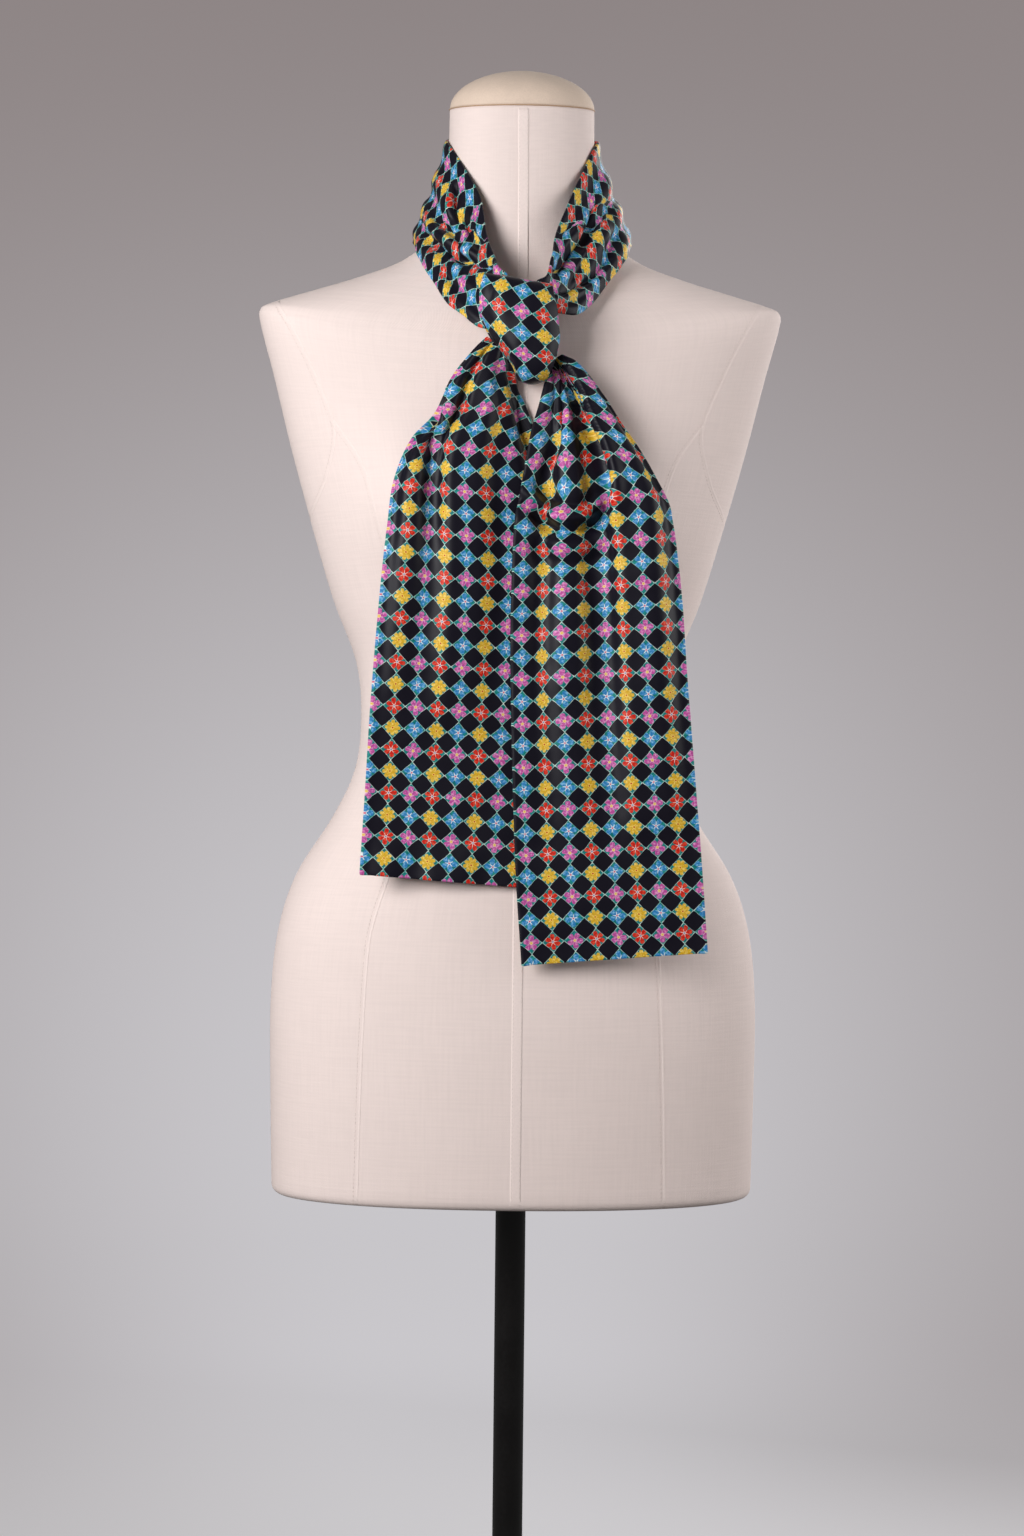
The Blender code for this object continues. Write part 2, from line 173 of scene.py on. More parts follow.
# How wide the cloth is laid in its folds, as a share of what shows, and its columns and rows of points.
BAND_FULLNESS = 1.035
LEFT_TAIL_FULLNESS = 1.16
RIGHT_TAIL_FULLNESS = 1.38
BAND_COUNTS = (56, 380)
TAIL_COUNTS = (100, 230)

# The knot is one strip that turns down the front, under and up behind. Its sides run from its bottom up.
KNOT_TOP = 1.4580
KNOT_BOTTOM = 1.3840
KNOT_FRONT = -0.1265
KNOT_BACK = -0.0935
KNOT_LEFT = (0.0000, -0.0050, -0.0130, -0.0200, -0.0245, -0.0265, -0.0265, -0.0240)
KNOT_RIGHT = (0.0180, 0.0225, 0.0248, 0.0260, 0.0255, 0.0245, 0.0225, 0.0210)
KNOT_TURN = 5.55  # how far the strip goes round, in radians
KNOT_SQUARE_UP = 0.75  # the strip turns round an ellipse at 1, and a squarer oval below 1
KNOT_SQUARE_OUT = 0.70
KNOT_CURL = 0.0080  # how far its sides turn back
KNOT_LEFT_CURL = 0.8  # how much more the left side does, low down
KNOT_SLANT = 0.0070
KNOT_ROUND = 0.0030
KNOT_ROWS = 150
KNOT_COLUMNS = 90
KNOT_PRINT_TURN = math.radians(8.0)  # the print runs aslant on the knot

# Small creases in millimetres: height, above 0 for a ridge; how far it reaches on its left or lower side,
# and on its right or upper side; and the line that it runs along, downwards or to the right, as (x, z).
LEFT_TAIL_CREASES = metres((
    (-8, 11, 1.2, ((-50.5, 1376), (-54.5, 1361), (-56, 1346), (-58, 1330))),
    (1.8, 3, 9, ((-49, 1376), (-53, 1360), (-54.5, 1345), (-56, 1329))),
    (-6.5, 8, 20, ((-6, 1395), (1, 1376), (6, 1356), (13, 1335), (18, 1315))),
    (1.5, 8, 8, ((-22, 1400), (-20, 1370), (-17, 1330), (-15, 1290))),
    (-1.2, 8, 8, ((6, 1310), (11, 1270), (13, 1220))),
    (1, 10, 10, ((-55, 1300), (-60, 1230), (-64, 1150))),
))
GROOVE = (
    (30.5, 1392), (38, 1378.2), (45, 1358.6), (52, 1345), (56.9, 1332.1), (60.4, 1319.2),
    (61.2, 1305.6), (58.6, 1296),
)
RIGHT_TAIL_CREASES = metres((
    (-8.5, 4.6, 1.8, GROOVE),
    (4.8, 2.4, 6, (
        (35, 1394.5), (43, 1380), (50, 1360.5), (57, 1346), (61.9, 1332.5), (65.4, 1319), (66.2, 1305),
        (64, 1293),
    )),
    (-4.8, 1.8, 3.2, ((26.2, 1391), (27.6, 1374), (28.2, 1360), (26.2, 1343), (23.5, 1330))),
    (2.2, 4, 4, ((20.5, 1388), (20, 1370), (19, 1350), (16, 1330))),
    (-3.4, 3, 6, ((6, 1318), (18, 1307), (31, 1300), (44, 1300), (55, 1307))),
    (5.2, 2.6, 5, (
        (3, 1308.5), (15, 1297.6), (26, 1290.9), (38.9, 1289.7), (51.1, 1295.3), (57.9, 1302.8),
    )),
    (-4.6, 4.6, 2.6, ((4, 1298.5), (16.5, 1288.5), (28.5, 1282), (42, 1281.5), (54, 1287.5), (61, 1297))),
    (3, 5, 5, ((2, 1288), (18, 1277), (32, 1270.5), (49, 1272), (62, 1282))),
    (-2, 7, 5, ((8, 1270), (25, 1260), (42, 1259), (60, 1267))),
    (2.4, 10, 13, ((19.5, 1270), (20, 1200), (20, 1156), (21, 1120))),
    (-1.6, 12, 12, ((56, 1270), (60, 1210), (64, 1150))),
    (1.4, 10, 12, ((85, 1300), (90, 1240), (93, 1170))),
))
BAND_CREASES = metres((
    (-6.2, 5.2, 2, (
        (-64, 1495), (-58.2, 1486.8), (-47, 1477.9), (-40, 1475.1), (-30.3, 1470.4), (-24.7, 1467.7),
    )),
    (4.2, 2.2, 4.8, ((-64, 1501), (-57, 1492), (-46.5, 1483.5), (-39, 1480), (-31, 1475.5))),
    (-4.2, 1.6, 3.6, ((-46.4, 1529), (-46.6, 1518), (-46.4, 1508), (-44, 1499))),
    (2.6, 4, 1.6, ((-50, 1530), (-50.5, 1518), (-50, 1508))),
    (-4.2, 3, 1.6, ((-40.6, 1508.7), (-37, 1499), (-34.2, 1489.8))),
    (2.6, 1.6, 3.6, ((-37, 1511), (-33, 1501), (-30.5, 1491.5))),
    (2, 6, 6, ((-60, 1478), (-48, 1466), (-36, 1456), (-25, 1450))),
    (-2, 4, 4, ((-56, 1469), (-45, 1456), (-35, 1447))),
    (-2.6, 3, 3, ((-64, 1516), (-60, 1506), (-54, 1499))),
    (-7.2, 3, 4.4, ((50, 1516), (49, 1506), (43.5, 1489.1), (36.4, 1482.1), (31, 1473.7), (25.4, 1463.8))),
    (3.6, 5, 2.4, ((43, 1509), (37.5, 1493), (31, 1485), (27, 1477))),
    (4.2, 2.4, 4.4, ((56, 1506), (50.5, 1489), (43, 1479), (37, 1470), (31, 1461))),
    (-5.2, 3, 2.6, ((62, 1479), (51.8, 1462.9), (40.8, 1454.4), (29.7, 1448.8))),
    (3, 3.4, 3, ((59, 1469), (48, 1456), (38, 1448))),
    (-3, 2.6, 2.6, ((68, 1501), (64, 1490), (60, 1482))),
    (2.4, 4, 3, ((61, 1508), (59, 1496), (55, 1486))),
))
KNOT_CREASES = metres((
    (-1.4, 3, 3, ((-14, 1457), (-19, 1446), (-21.5, 1436))),
    (1, 6, 6, ((6, 1440), (2, 1420), (-1, 1405))),
))

# Where the width that a row doesn't show is tucked away: the line, and the share of that width.
LEFT_TAIL_TUCKS = ((metres(((-47, 1390), (-50.5, 1376), (-56, 1346), (-59, 1320), (-62, 1260))), 0.40),)
RIGHT_TAIL_TUCKS = (
    (metres((*GROOVE, (58, 1250), (60, 1200))), 0.50),
    (metres(((26.2, 1391), (28.2, 1360), (26.2, 1343), (24, 1320), (24, 1250))), 0.20),
)
LEFT_BAND_TUCK = metres((
    (-70, 1510), (-58.2, 1486.8), (-47, 1477.9), (-40, 1475.1), (-30.3, 1470.4), (-24.7, 1467.7),
))
RIGHT_BAND_TUCK = metres((
    (52, 1520), (49, 1508.8), (43.5, 1489.1), (36.4, 1482.1), (31, 1473.7), (25.4, 1463.8),
))
BAND_TUCKS = ((LEFT_BAND_TUCK, 0.22), (RIGHT_BAND_TUCK, 0.22))
TUCK_EDGE = 0.0025  # a tuck nearer than this to an edge of the cloth runs off it
TUCK_STEP = 0.0006  # how wide the tuck's own line is
TUCK_EASE = 8  # rows on both sides over which a tuck's place is evened out
# Where a tail's print sags: how far, the middle as (x, z), and how far across and along.
RIGHT_TAIL_SAG = metres((8.5, 33, 1293, 22, 30))
NO_SAG = (0.0, 0.0, 1.0, 1.0, 1.0)

# Where one motif lies on each stretch, as (x, z), and which: whole repeats across and along, odd or even.
# Even and even is a pink flower, even and odd a blue one, odd and even a red one, odd and odd a yellow one.
PINK, BLUE, RED, YELLOW = (0, 0), (0, 1), (1, 0), (1, 1)
LEFT_TAIL_MOTIF = ((-0.0881, 1.0716), RED)
RIGHT_TAIL_MOTIF = ((0.0243, 1.0313), RED)
KNOT_MOTIF = ((0.0154, 1.4268), RED)
BAND_LEFT_MOTIF = ((-0.0534, 1.4656), RED)
BAND_RIGHT_MOTIF = ((0.0368, 1.4478), YELLOW)

# The lines of the form's seams, in millimetres: (x, z) in front and behind, and (y, z) on the +X side.
FRONT_MIDDLE = metres(((3, 815.5), (3, 1100), (2, 1300), (2, 1450), (1, 1583)))
BACK_MIDDLE = metres(((0, 815.5), (0, 1100), (0, 1300), (0, 1480), (0, 1597)))
FRONT_PRINCESS = metres((
    (130, 1362), (108, 1328), (95, 1283), (74, 1220), (62, 1160), (70, 1100), (85, 1050), (96.5, 1014),
    (101, 987), (104.5, 918), (107, 815.5),
))
BACK_PRINCESS = metres((
    (132, 1390), (104, 1330), (82, 1260), (62, 1170), (66, 1110), (83, 1050), (97, 985), (102, 900),
    (103, 815.5),
))
FRONT_ARMHOLE = metres((
    (172.5, 1451.2), (170, 1445), (155, 1418), (136, 1377), (128.5, 1352), (135, 1322), (144.5, 1303.5),
    (148.5, 1297),
))
BACK_ARMHOLE = metres((
    (172.5, 1451.2), (170, 1446), (153, 1425), (137, 1390), (131, 1360), (137, 1325), (145, 1304.5),
    (148.5, 1297),
))
SIDE_SEAM = metres(((4, 815.5), (4, 1000), (0, 1100), (0, 1200), (0, 1296)))
# The kinds of seam: half width, rise, the places of its rows of stitches, and how high they lie.
PLAIN_SEAM = (0.0009, 0.00014, (0.0028,), 0.0001)
LAPPED_SEAM = (0.0038, 0.00010, (-0.72 * 0.0038, 0.72 * 0.0038), 0.00010 * 0.6)
# Each seam: the side that it is seen from, its line, its kind, and whether each of its strips is mirrored.
SEAMS = (
    ("front", FRONT_MIDDLE, LAPPED_SEAM, (False,)),
    ("back", BACK_MIDDLE, LAPPED_SEAM, (False,)),
    ("front", FRONT_PRINCESS, PLAIN_SEAM, (False, True)),
    ("back", BACK_PRINCESS, PLAIN_SEAM, (False, True)),
    ("front", FRONT_ARMHOLE, PLAIN_SEAM, (False, True)),
    ("back", BACK_ARMHOLE, PLAIN_SEAM, (False, True)),
    ("side", SIDE_SEAM, PLAIN_SEAM, (False, True)),
)
LINE_STEP = 0.003  # from point to point along a seam
SHORTEST_STITCH = 0.92  # as a share of the stitch length
LONGEST_STITCH = 1.06
SEAM_SUNK = -0.0006  # how far the edges of a seam's strip lie in the cover

# ------------------------------------------------------------- the stage's sizes

# Each soft light's place, what it is aimed at, its size, and the property that holds its power.
LIGHTS = {
    "key_light": ((-1.15, -1.35, 1.63), (0.0, 0.0, 1.25), 0.9, "key_power"),
    "fill_light": ((1.60, -0.20, 1.60), (0.0, 0.0, 1.20), 1.2, "fill_power"),
    "rear_light": ((0.90, 2.30, 1.90), (0.0, 0.0, 1.20), 1.6, "rear_power"),
}
CAMERA_PLACE = (-0.0023, -2.3, 1.1197)
CAMERA_ROLL = math.radians(0.6)
BACKDROP_RADIUS = 7.0
BACKDROP_BOW = 1.8  # radius of the bend from the floor to the wall
BACKDROP_HIGH = 5.0


# ----------------------------------------------------------------- properties


def length(name, text, default, low=0.0, high=10.0):
    """A size in metres."""
    return FloatProperty(name=name, description=text, default=default, min=low, max=high, unit="LENGTH")


def power(name, text, default):
    """A light's power in watts."""
    return FloatProperty(name=name, description=text, default=default, unit="POWER")


def colour(name, text, red, green, blue):
    """A colour, given as it looks on a screen, from 0 to 255."""
    return FloatVectorProperty(
        name=name,
        description=text,
        default=srgb(red, green, blue)[:3],
        size=3,
        min=0.0,
        max=1.0,
        subtype="COLOR",
    )


def srgb(red, green, blue):
    """A screen colour as the linear values that a shader takes."""
    values = [v / 255 for v in (red, green, blue)]
    return (*[v / 12.92 if v <= 0.04045 else ((v + 0.055) / 1.055) ** 2.4 for v in values], 1.0)


class CravatSettings(bpy.types.PropertyGroup):
    """The cloth and its print."""

    thickness: length("Cloth thickness", "Thickness of the folded cloth", 0.0016, 0.0005, 0.004)
    edge_roll: length("Edge roll", "How much thicker the cloth's folded edges are", 0.0010, 0.0, 0.004)
    rumple: length("Rumple", "Height of the cloth's slight waviness", 0.0005, 0.0, 0.004)
    repeat: length("Repeat", "Distance from one motif to the next", 0.0150, 0.004, 0.1)
    twill: length("Twill", "Distance between the cloth's diagonal ribs", 0.0011, 0.0003, 0.01)
    diamond: colour("Diamond", "The dark diamonds", 17, 14, 27)
    ground: colour("Ground", "The ground behind the flowers", 2, 112, 112)
    outline: colour("Outline", "The fine lines round the diamonds", 236, 244, 236)
    pink: colour("Pink flower", "Petals of the pink flowers", 194, 76, 158)
    blue: colour("Blue flower", "Petals of the blue flowers", 40, 128, 192)
    red: colour("Red flower", "Petals of the red flowers", 210, 26, 16)
    yellow: colour("Yellow flower", "Petals of the yellow flowers", 226, 178, 36)


class FormSettings(bpy.types.PropertyGroup):
    """The dress form and its stand."""

    cover: colour("Cover", "The form's cotton cover", 250, 232, 226)
    cap: colour("Cap", "The cap on the neck", 234, 211, 192)
    thread: colour("Thread", "The sewing thread", 240, 224, 217)
    metal: colour("Metal", "The pole and foot", 12, 9, 9)
    weave: length("Weave", "Distance between the cover's threads", 0.0009, 0.0003, 0.01)
    stitch_pitch: length("Stitch pitch", "Distance from stitch to stitch", 0.0030, 0.001, 0.02)
    stitch_length: length("Stitch length", "Length of one stitch", 0.0021, 0.0005, 0.02)
    stitch_thickness: length("Stitch thickness", "Thickness of one stitch", 0.00026, 0.0001, 0.005)


class StudioSettings(bpy.types.PropertyGroup):
    """The stage."""

    key_power: power("Key light", "Power of the key light", 31.0)
    fill_power: power("Fill light", "Power of the fill light", 17.0)
    rear_power: power("Rear light", "Power of the light behind", 25.0)
    floor: colour("Floor", "The floor", 205, 203, 205)
    # The wall's colours carry painted shade: pale near the floor, darker at its top and towards its sides.
    wall_low: colour("Wall, low", "The backdrop near the floor", 205, 203, 207)
    wall_high_painted_shade: colour("Wall, high", "The top of the backdrop", 144, 135, 135)


# ------------------------------------------------------------- lines and grids


def through(points, count):
    """Points along a smooth line through the given ones, as many from each one to the next."""
    knots = np.array(points, float)
    ends = np.vstack([2 * knots[0] - knots[1], knots, 2 * knots[-1] - knots[-2]])
    at = np.linspace(0, len(knots) - 1, count)
    i = np.minimum(at.astype(int), len(knots) - 2)
    f = (at - i)[:, None]
    before, here, after, beyond = (ends[i + k] for k in range(4))
    return 0.5 * (
        2 * here
        + (after - before) * f
        + (2 * before - 5 * here + 4 * after - beyond) * f**2
        + (3 * here - before - 3 * after + beyond) * f**3
    )


def unit(vectors):
    """Vectors of length 1."""
    return vectors / np.maximum(np.linalg.norm(vectors, axis=-1, keepdims=True), 1e-12)


def torso_ring(section):
    """The points of one ring of the torso, anticlockwise from its +X side."""
    side_z, half_width, front_z, front, back_z, back, roundness, saddle = section
    angle = np.linspace(0, 2 * math.pi, TORSO_POINTS, endpoint=False)
    across, along = np.cos(angle), np.sin(angle)
    x = half_width * np.sign(across) * np.abs(across) ** roundness
    deep = np.abs(along) ** roundness
    y = np.where(along < 0, -front * deep, back * deep)
    drop = np.abs(along) ** saddle
    z = side_z + drop * np.where(along < 0, front_z - side_z, back_z - side_z)
    mound = np.exp(
        -(((np.abs(x) - BUST_APART) / BUST_SPREAD_X) ** 2)
        - ((z - BUST_HEIGHT) / BUST_SPREAD_Z) ** 2
    )
    y = np.where(along < 0, y - BUST_RISE * mound * deep, y)
    return np.column_stack([x, y, z])


def bend(across, folds):
    """The direction of the cloth's section at each place across it, from -1 to 1."""
    turn = np.zeros_like(across)
    for place, half, strength in folds:
        near = np.clip((across - place) / half, -1, 1)
        turn += strength * np.cos(0.5 * math.pi * near) ** 2
    return turn


def pleated(chord, width, folds, columns):
    """Cloth of this width laid in folds between two points: places along the chord, and out from it."""
    steps = 8
    fine = np.linspace(0, 1, steps * columns + 1)
    turn = bend(0.5 * (fine[1:] + fine[:-1]), folds)
    low, high = 0.0, TIGHTEST_FOLD
    halvings = 22
    for _ in range(halvings):
        angle = 0.5 * (low + high)
        reach = math.hypot(np.cos(angle * turn).mean(), np.sin(angle * turn).mean())
        if width * reach > chord:
            low = angle
        else:
            high = angle
    along = np.concatenate([[0], np.cumsum(np.cos(angle * turn))])
    out = np.concatenate([[0], np.cumsum(np.sin(angle * turn))])
    reach = math.hypot(along[-1], out[-1])
    cos, sin = along[-1] / reach, out[-1] / reach
    x, y = along * cos + out * sin, out * cos - along * sin
    return x[::steps] * chord / reach, y[::steps] * chord / reach


def stretch_of_cloth(first_edge, second_edge, folds, fullness, counts):
    """A grid of points for a strip between two edge lines: rows along it, columns across it."""
    columns, rows = counts
    first, second = through(first_edge, rows + 1), through(second_edge, rows + 1)
    run = np.gradient(0.5 * (first + second), axis=0)
    grid = []
    for a, b, along in zip(first, second, run):
        chord = b - a
        size = np.linalg.norm(chord)
        chord = chord / size
        outward = np.cross(along, chord)
        outward /= np.linalg.norm(outward)
        x, y = pleated(size, min(CLOTH_WIDTH, fullness * size), folds, columns)
        grid.append(a + np.outer(x, chord) + np.outer(y, outward))
    return np.array(grid)


def at_height(places, height):
    """The value at a height from 0 to 1, on a smooth line through evenly spaced places."""
    line = through([(place, 0.0) for place in places], 101)[:, 0]
    return float(np.interp(height, np.linspace(0, 1, 101), line))


def squared(value, power):
    """A cosine or sine carried to 0 to 1, with the oval that it draws made squarer."""
    return 0.5 + 0.5 * math.copysign(abs(value) ** power, value)


def knot_grid():
    """A grid of points for the knot: rows from its top round the front, columns from left to right."""
    across = np.linspace(-1, 1, KNOT_COLUMNS + 1)
    grid = []
    for angle in np.linspace(0, KNOT_TURN, KNOT_ROWS + 1):
        height = squared(math.cos(angle), KNOT_SQUARE_UP)
        front = squared(math.sin(angle), KNOT_SQUARE_OUT)
        left, right = at_height(KNOT_LEFT, height), at_height(KNOT_RIGHT, height)
        x = left + (right - left) * 0.5 * (1 + across)
        curl = KNOT_CURL * (1 + KNOT_LEFT_CURL * (across < 0) * (1 - height))
        y = KNOT_BACK + (KNOT_FRONT - KNOT_BACK) * front + curl * front * abs(across) ** 4
        z = KNOT_BOTTOM + (KNOT_TOP - KNOT_BOTTOM) * height
        z = z - KNOT_SLANT * height * 0.5 * (1 + across) + KNOT_ROUND * (1 - height) * across**2
        grid.append(np.column_stack([x, y, z]))
    return np.array(grid)


def outward_normals(grid, inside):
    """The normal at each point of a grid, on the side away from a point inside."""
    down = np.gradient(grid, axis=0)
    across = np.gradient(grid, axis=1)
    normal = unit(np.cross(down, across))
    if np.sum(normal * (grid - np.array(inside))) < 0:
        normal = -normal
    return normal


def waviness(points, size, seed):
    """Smooth waves from about -1 to 1, with crests about this far apart, the same ones for the same seed."""
    draw = np.random.default_rng(seed)
    total = np.zeros(points.shape[:-1])
    waves = 14
    for _ in range(waves):
        direction = unit(draw.normal(size=3))
        pitch = size * draw.uniform(0.7, 1.6)
        total += np.sin(points @ direction * (2 * math.pi / pitch) + draw.uniform(0, 2 * math.pi))
    return total / math.sqrt(waves)


def flat_line(line, count):
    """Points along a smooth line through the given ones, seen from one side."""
    return through([(a, b, 0.0) for a, b in line], count)[:, :2]


def creased(grid, normal, creases):
    """The grid with soft troughs and ridges pressed into it along lines, as seen from the front."""
    flat = grid[..., (0, 2)].reshape(-1, 2)
    lift = np.zeros(len(flat))
    for height, left_reach, right_reach, line in creases:
        run = flat_line(line, 40)
        ahead = np.gradient(run, axis=0)
        from_line = flat[:, None, :] - run[None, :, :]
        gap = np.linalg.norm(from_line, axis=2)
        nearest = gap.argmin(axis=1)
        own = from_line[np.arange(len(flat)), nearest]
        side = ahead[nearest, 0] * own[:, 1] - ahead[nearest, 1] * own[:, 0]
        reach = np.where(side > 0, right_reach, left_reach)
        fade = np.sin(np.linspace(0.12, 0.88, len(run)) * math.pi) ** 0.7
        lift += height * fade[nearest] * np.exp(-((gap.min(axis=1) / reach) ** 2))
    facing = np.clip(-normal[..., 1] * 3, 0, 1)
    return grid + normal * (lift.reshape(grid.shape[:2]) * facing)[..., None]


def run_along(grid):
    """How far each point is along its column, from the first row."""
    step = np.linalg.norm(np.diff(grid, axis=0), axis=2)
    return np.vstack([np.zeros(grid.shape[1]), np.cumsum(step, axis=0)])


def run_across(grid, tucks=()):
    """How far each point is along its row. What a narrow row hides is tucked away along these lines."""
    step = np.linalg.norm(np.diff(grid, axis=1), axis=2)
    run = np.hstack([np.zeros((grid.shape[0], 1)), np.cumsum(step, axis=1)])
    hidden = np.maximum(CLOTH_WIDTH - run[:, -1:], 0)
    window = 2 * TUCK_EASE + 1
    tucked = run.copy()
    for line, share in tucks:
        path = flat_line(line, 60)
        gap = np.linalg.norm(grid[..., (0, 2)][:, :, None, :] - path[None, None, :, :], axis=3).min(axis=2)
        place = np.pad(run[np.arange(len(run)), gap.argmin(axis=1)], TUCK_EASE, mode="edge")
        place = np.convolve(place, np.ones(window) / window, mode="valid")[:, None]
        # A tuck that comes to an edge is moved off the cloth.
        place = np.where(place < TUCK_EDGE, -0.05, place)
        place = np.where(place > run[:, -1:] - TUCK_EDGE, 1.0, place)
        tucked = tucked + hidden * share / (1 + np.exp(-np.clip((run - place) / TUCK_STEP, -60, 60)))
    return tucked


def nearest_point(grid, place):
    """The row and column of the grid's point that lies at a place, (x, z), as seen from the front."""
    gap = (grid[..., 0] - place[0]) ** 2 + (grid[..., 2] - place[1]) ** 2
    gap = gap + 0.02 * (grid[..., 1] - grid[..., 1].min()) ** 2
    return np.unravel_index(gap.argmin(), gap.shape)


def placed_print(grid, across, along, motif, repeat):
    """The print's map for a grid, in repeats, with a motif of the right kind at its place."""
    place, kind = motif
    at = nearest_point(grid, place)
    a, b = across / repeat, along / repeat
    return a - a[at] + kind[0], b - b[at] + kind[1]


def eased_print(grid, maps, motif, second):
    """The print's map, eased along the cloth so that a second motif lies at its place too."""
    (first_row, _), at = nearest_point(grid, motif[0]), nearest_point(grid, second[0])
    share = np.clip((np.arange(len(grid)) - first_row) / (at[0] - first_row), 0, 1)[:, None]
    eased = []
    for values, kind in zip(maps, second[1]):
        needed = (kind - values[at] + 1) % 2 - 1
        eased.append(values + needed * share)
    return eased


# ------------------------------------------------------------------- meshes


def mesh_of(name, points, faces, corners=None):
    """A mesh of points and faces, with a UV map named print where each corner's place on it is given."""
    mesh = bpy.data.meshes.new(name)
    mesh.from_pydata(np.asarray(points).tolist(), [], [list(map(int, face)) for face in faces])
    if corners is not None:
        layer = mesh.uv_layers.new(name="print")
        layer.data.foreach_set("uv", np.asarray(corners, np.float32).ravel())
    mesh.shade_smooth()
    return mesh


def turned_out(mesh):
    """The closed mesh with its faces pointing outwards."""
    bm = bmesh.new()
    bm.from_mesh(mesh)
    if bm.calc_volume(signed=True) < 0:
        bmesh.ops.reverse_faces(bm, faces=bm.faces[:])
        bm.to_mesh(mesh)
    bm.free()
    return mesh


def add_piece(name, mesh, look, node):
    """A finished piece that rides on the body, and stands for a CAD node where one is named."""
    piece = bpy.data.objects.new(name, mesh)
    bpy.context.scene.collection.objects.link(piece)
    mesh.materials.clear()
    mesh.materials.append(look)
    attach(piece, "root")
    if node:
        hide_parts(node)
    return piece


def ring_faces(rows, count):
    """The numbers of the points in each ring, and of the corners of the four-sided faces between rings."""
    index = np.arange(rows * count).reshape(rows, count)
    here, there = index[:-1], index[1:]
    quads = np.stack([here, np.roll(here, -1, 1), np.roll(there, -1, 1), there], axis=2)
    return index, quads.reshape(-1, 4)


def quad_corners(place):
    """The place on the map of each corner of the faces between rings, which end where they start."""
    around = [place[:-1, :-1], place[:-1, 1:], place[1:, 1:], place[1:, :-1]]
    return np.stack(around, axis=2).reshape(-1, 2)


def lofted(name, rings, map_across=None, map_along=None):
    """A closed mesh through rings of the same number of points, with flat ends."""
    rows, count = len(rings), len(rings[0])
    index, quads = ring_faces(rows, count)
    faces = [*quads, index[0][::-1], index[-1]]
    corners = None
    if map_across is not None:
        a = np.broadcast_to(map_across, (rows, count + 1))
        b = np.broadcast_to(np.asarray(map_along)[:, None], (rows, count + 1))
        place = np.stack([a, b], axis=2)
        corners = np.concatenate([quad_corners(place), place[0, :-1][::-1], place[-1, :-1]])
    return turned_out(mesh_of(name, np.concatenate(rings), faces, corners))


def rounded_ends(wall):
    """The wall's rows with three more at both ends, which close it in a half round."""
    for edge, inner in ((0, 1), (-1, -2)):
        base = {key: rows[edge] for key, rows in wall.items()}
        out = unit(wall["grid"][edge] - wall["grid"][inner])
        sign = np.sign(wall["along"][edge] - wall["along"][inner])
        for turn in END_TURNS:
            rise = base["half"] * math.sin(turn)
            row = dict(base)
            row["grid"] = base["grid"] + out * rise[:, None]
            row["half"] = base["half"] * math.cos(turn)
            row["along"] = base["along"] + sign * rise
            for key in wall:
                joined = [row[key][None], wall[key]] if edge == 0 else [wall[key], row[key][None]]
                wall[key] = np.concatenate(joined)
    return wall


def rolled_edge(wall, column, inner, turns):
    """The points that close the wall's side in a half round, with their places on the print."""
    out = unit(wall["grid"][:, column] - wall["grid"][:, inner])
    sign = np.sign(wall["across"][:, column] - wall["across"][:, inner])
    half = wall["half"][:, column]
    points = []
    places = []
    for turn in turns:
        lift = wall["normal"][:, column] * math.sin(turn) + out * math.cos(turn)
        points.append(wall["grid"][:, column] + lift * half[:, None])
        places.append(wall["across"][:, column] + sign * half * (0.5 * math.pi - turn))
    return np.stack(points, axis=1), np.stack(places, axis=1)


def back_places(across, roll):
    """The print's places across the wall's back, carried on round its left edge and round its right one."""
    way = np.sign(across[:, -1:] - across[:, :1])
    left = 2 * across[:, :1] - across - way * roll[:, :1]
    right = 2 * across[:, -1:] - across + way * roll[:, -1:]
    return left, right


def silk_piece(name, grid, inside, maps, half, node):
    """A closed wall of cloth round a grid of points, rounded at its edges and ends, with its print's map."""
    wall = {
        "grid": grid,
        "normal": outward_normals(grid, inside),
        "half": half,
        "across": maps[0],
        "along": maps[1],
    }
    wall = rounded_ends(wall)
    lift = wall["normal"] * wall["half"][..., None]
    front, back = wall["grid"] + lift, wall["grid"] - lift
    across, along = wall["across"], wall["along"]
    last = grid.shape[1] - 1
    middle = last // 2
    left_points, left_places = rolled_edge(wall, 0, 1, EDGE_TURNS)
    right_points, right_places = rolled_edge(wall, last, last - 1, EDGE_TURNS[::-1])
    left_back, right_back = back_places(across, math.pi * wall["half"])

    # Each ring runs from the middle of the back round the left edge, the front and the right edge.
    ring = [back[:, middle::-1], left_points, front, right_points, back[:, :middle:-1]]
    points = np.concatenate(ring, axis=1)
    right_back = right_back[:, : middle - 1 : -1]
    ring_across = [left_back[:, middle::-1], left_places, across, right_places, right_back]
    turns = len(EDGE_TURNS)
    left_along, right_along = (np.repeat(along[:, j], turns).reshape(-1, turns) for j in (0, last))
    ring_along = [along[:, middle::-1], left_along, along, right_along, along[:, : middle - 1 : -1]]
    place = np.stack([np.concatenate(ring_across, axis=1), np.concatenate(ring_along, axis=1)], axis=2)
    rows, count = points.shape[:2]
    index, quads = ring_faces(rows, count)
    faces = list(quads)
    corners = list(quad_corners(place))
    for row, order in ((0, 1), (rows - 1, -1)):
        for loop, seen in end_faces(middle, last, count):
            faces.append([index[row, k] for k in loop[::order]])
            corners.extend(place[row, k] for k in seen[::order])
    mesh = turned_out(mesh_of(name, points.reshape(-1, 3), faces, corners))
    return add_piece(name, mesh, printed_silk(), node)


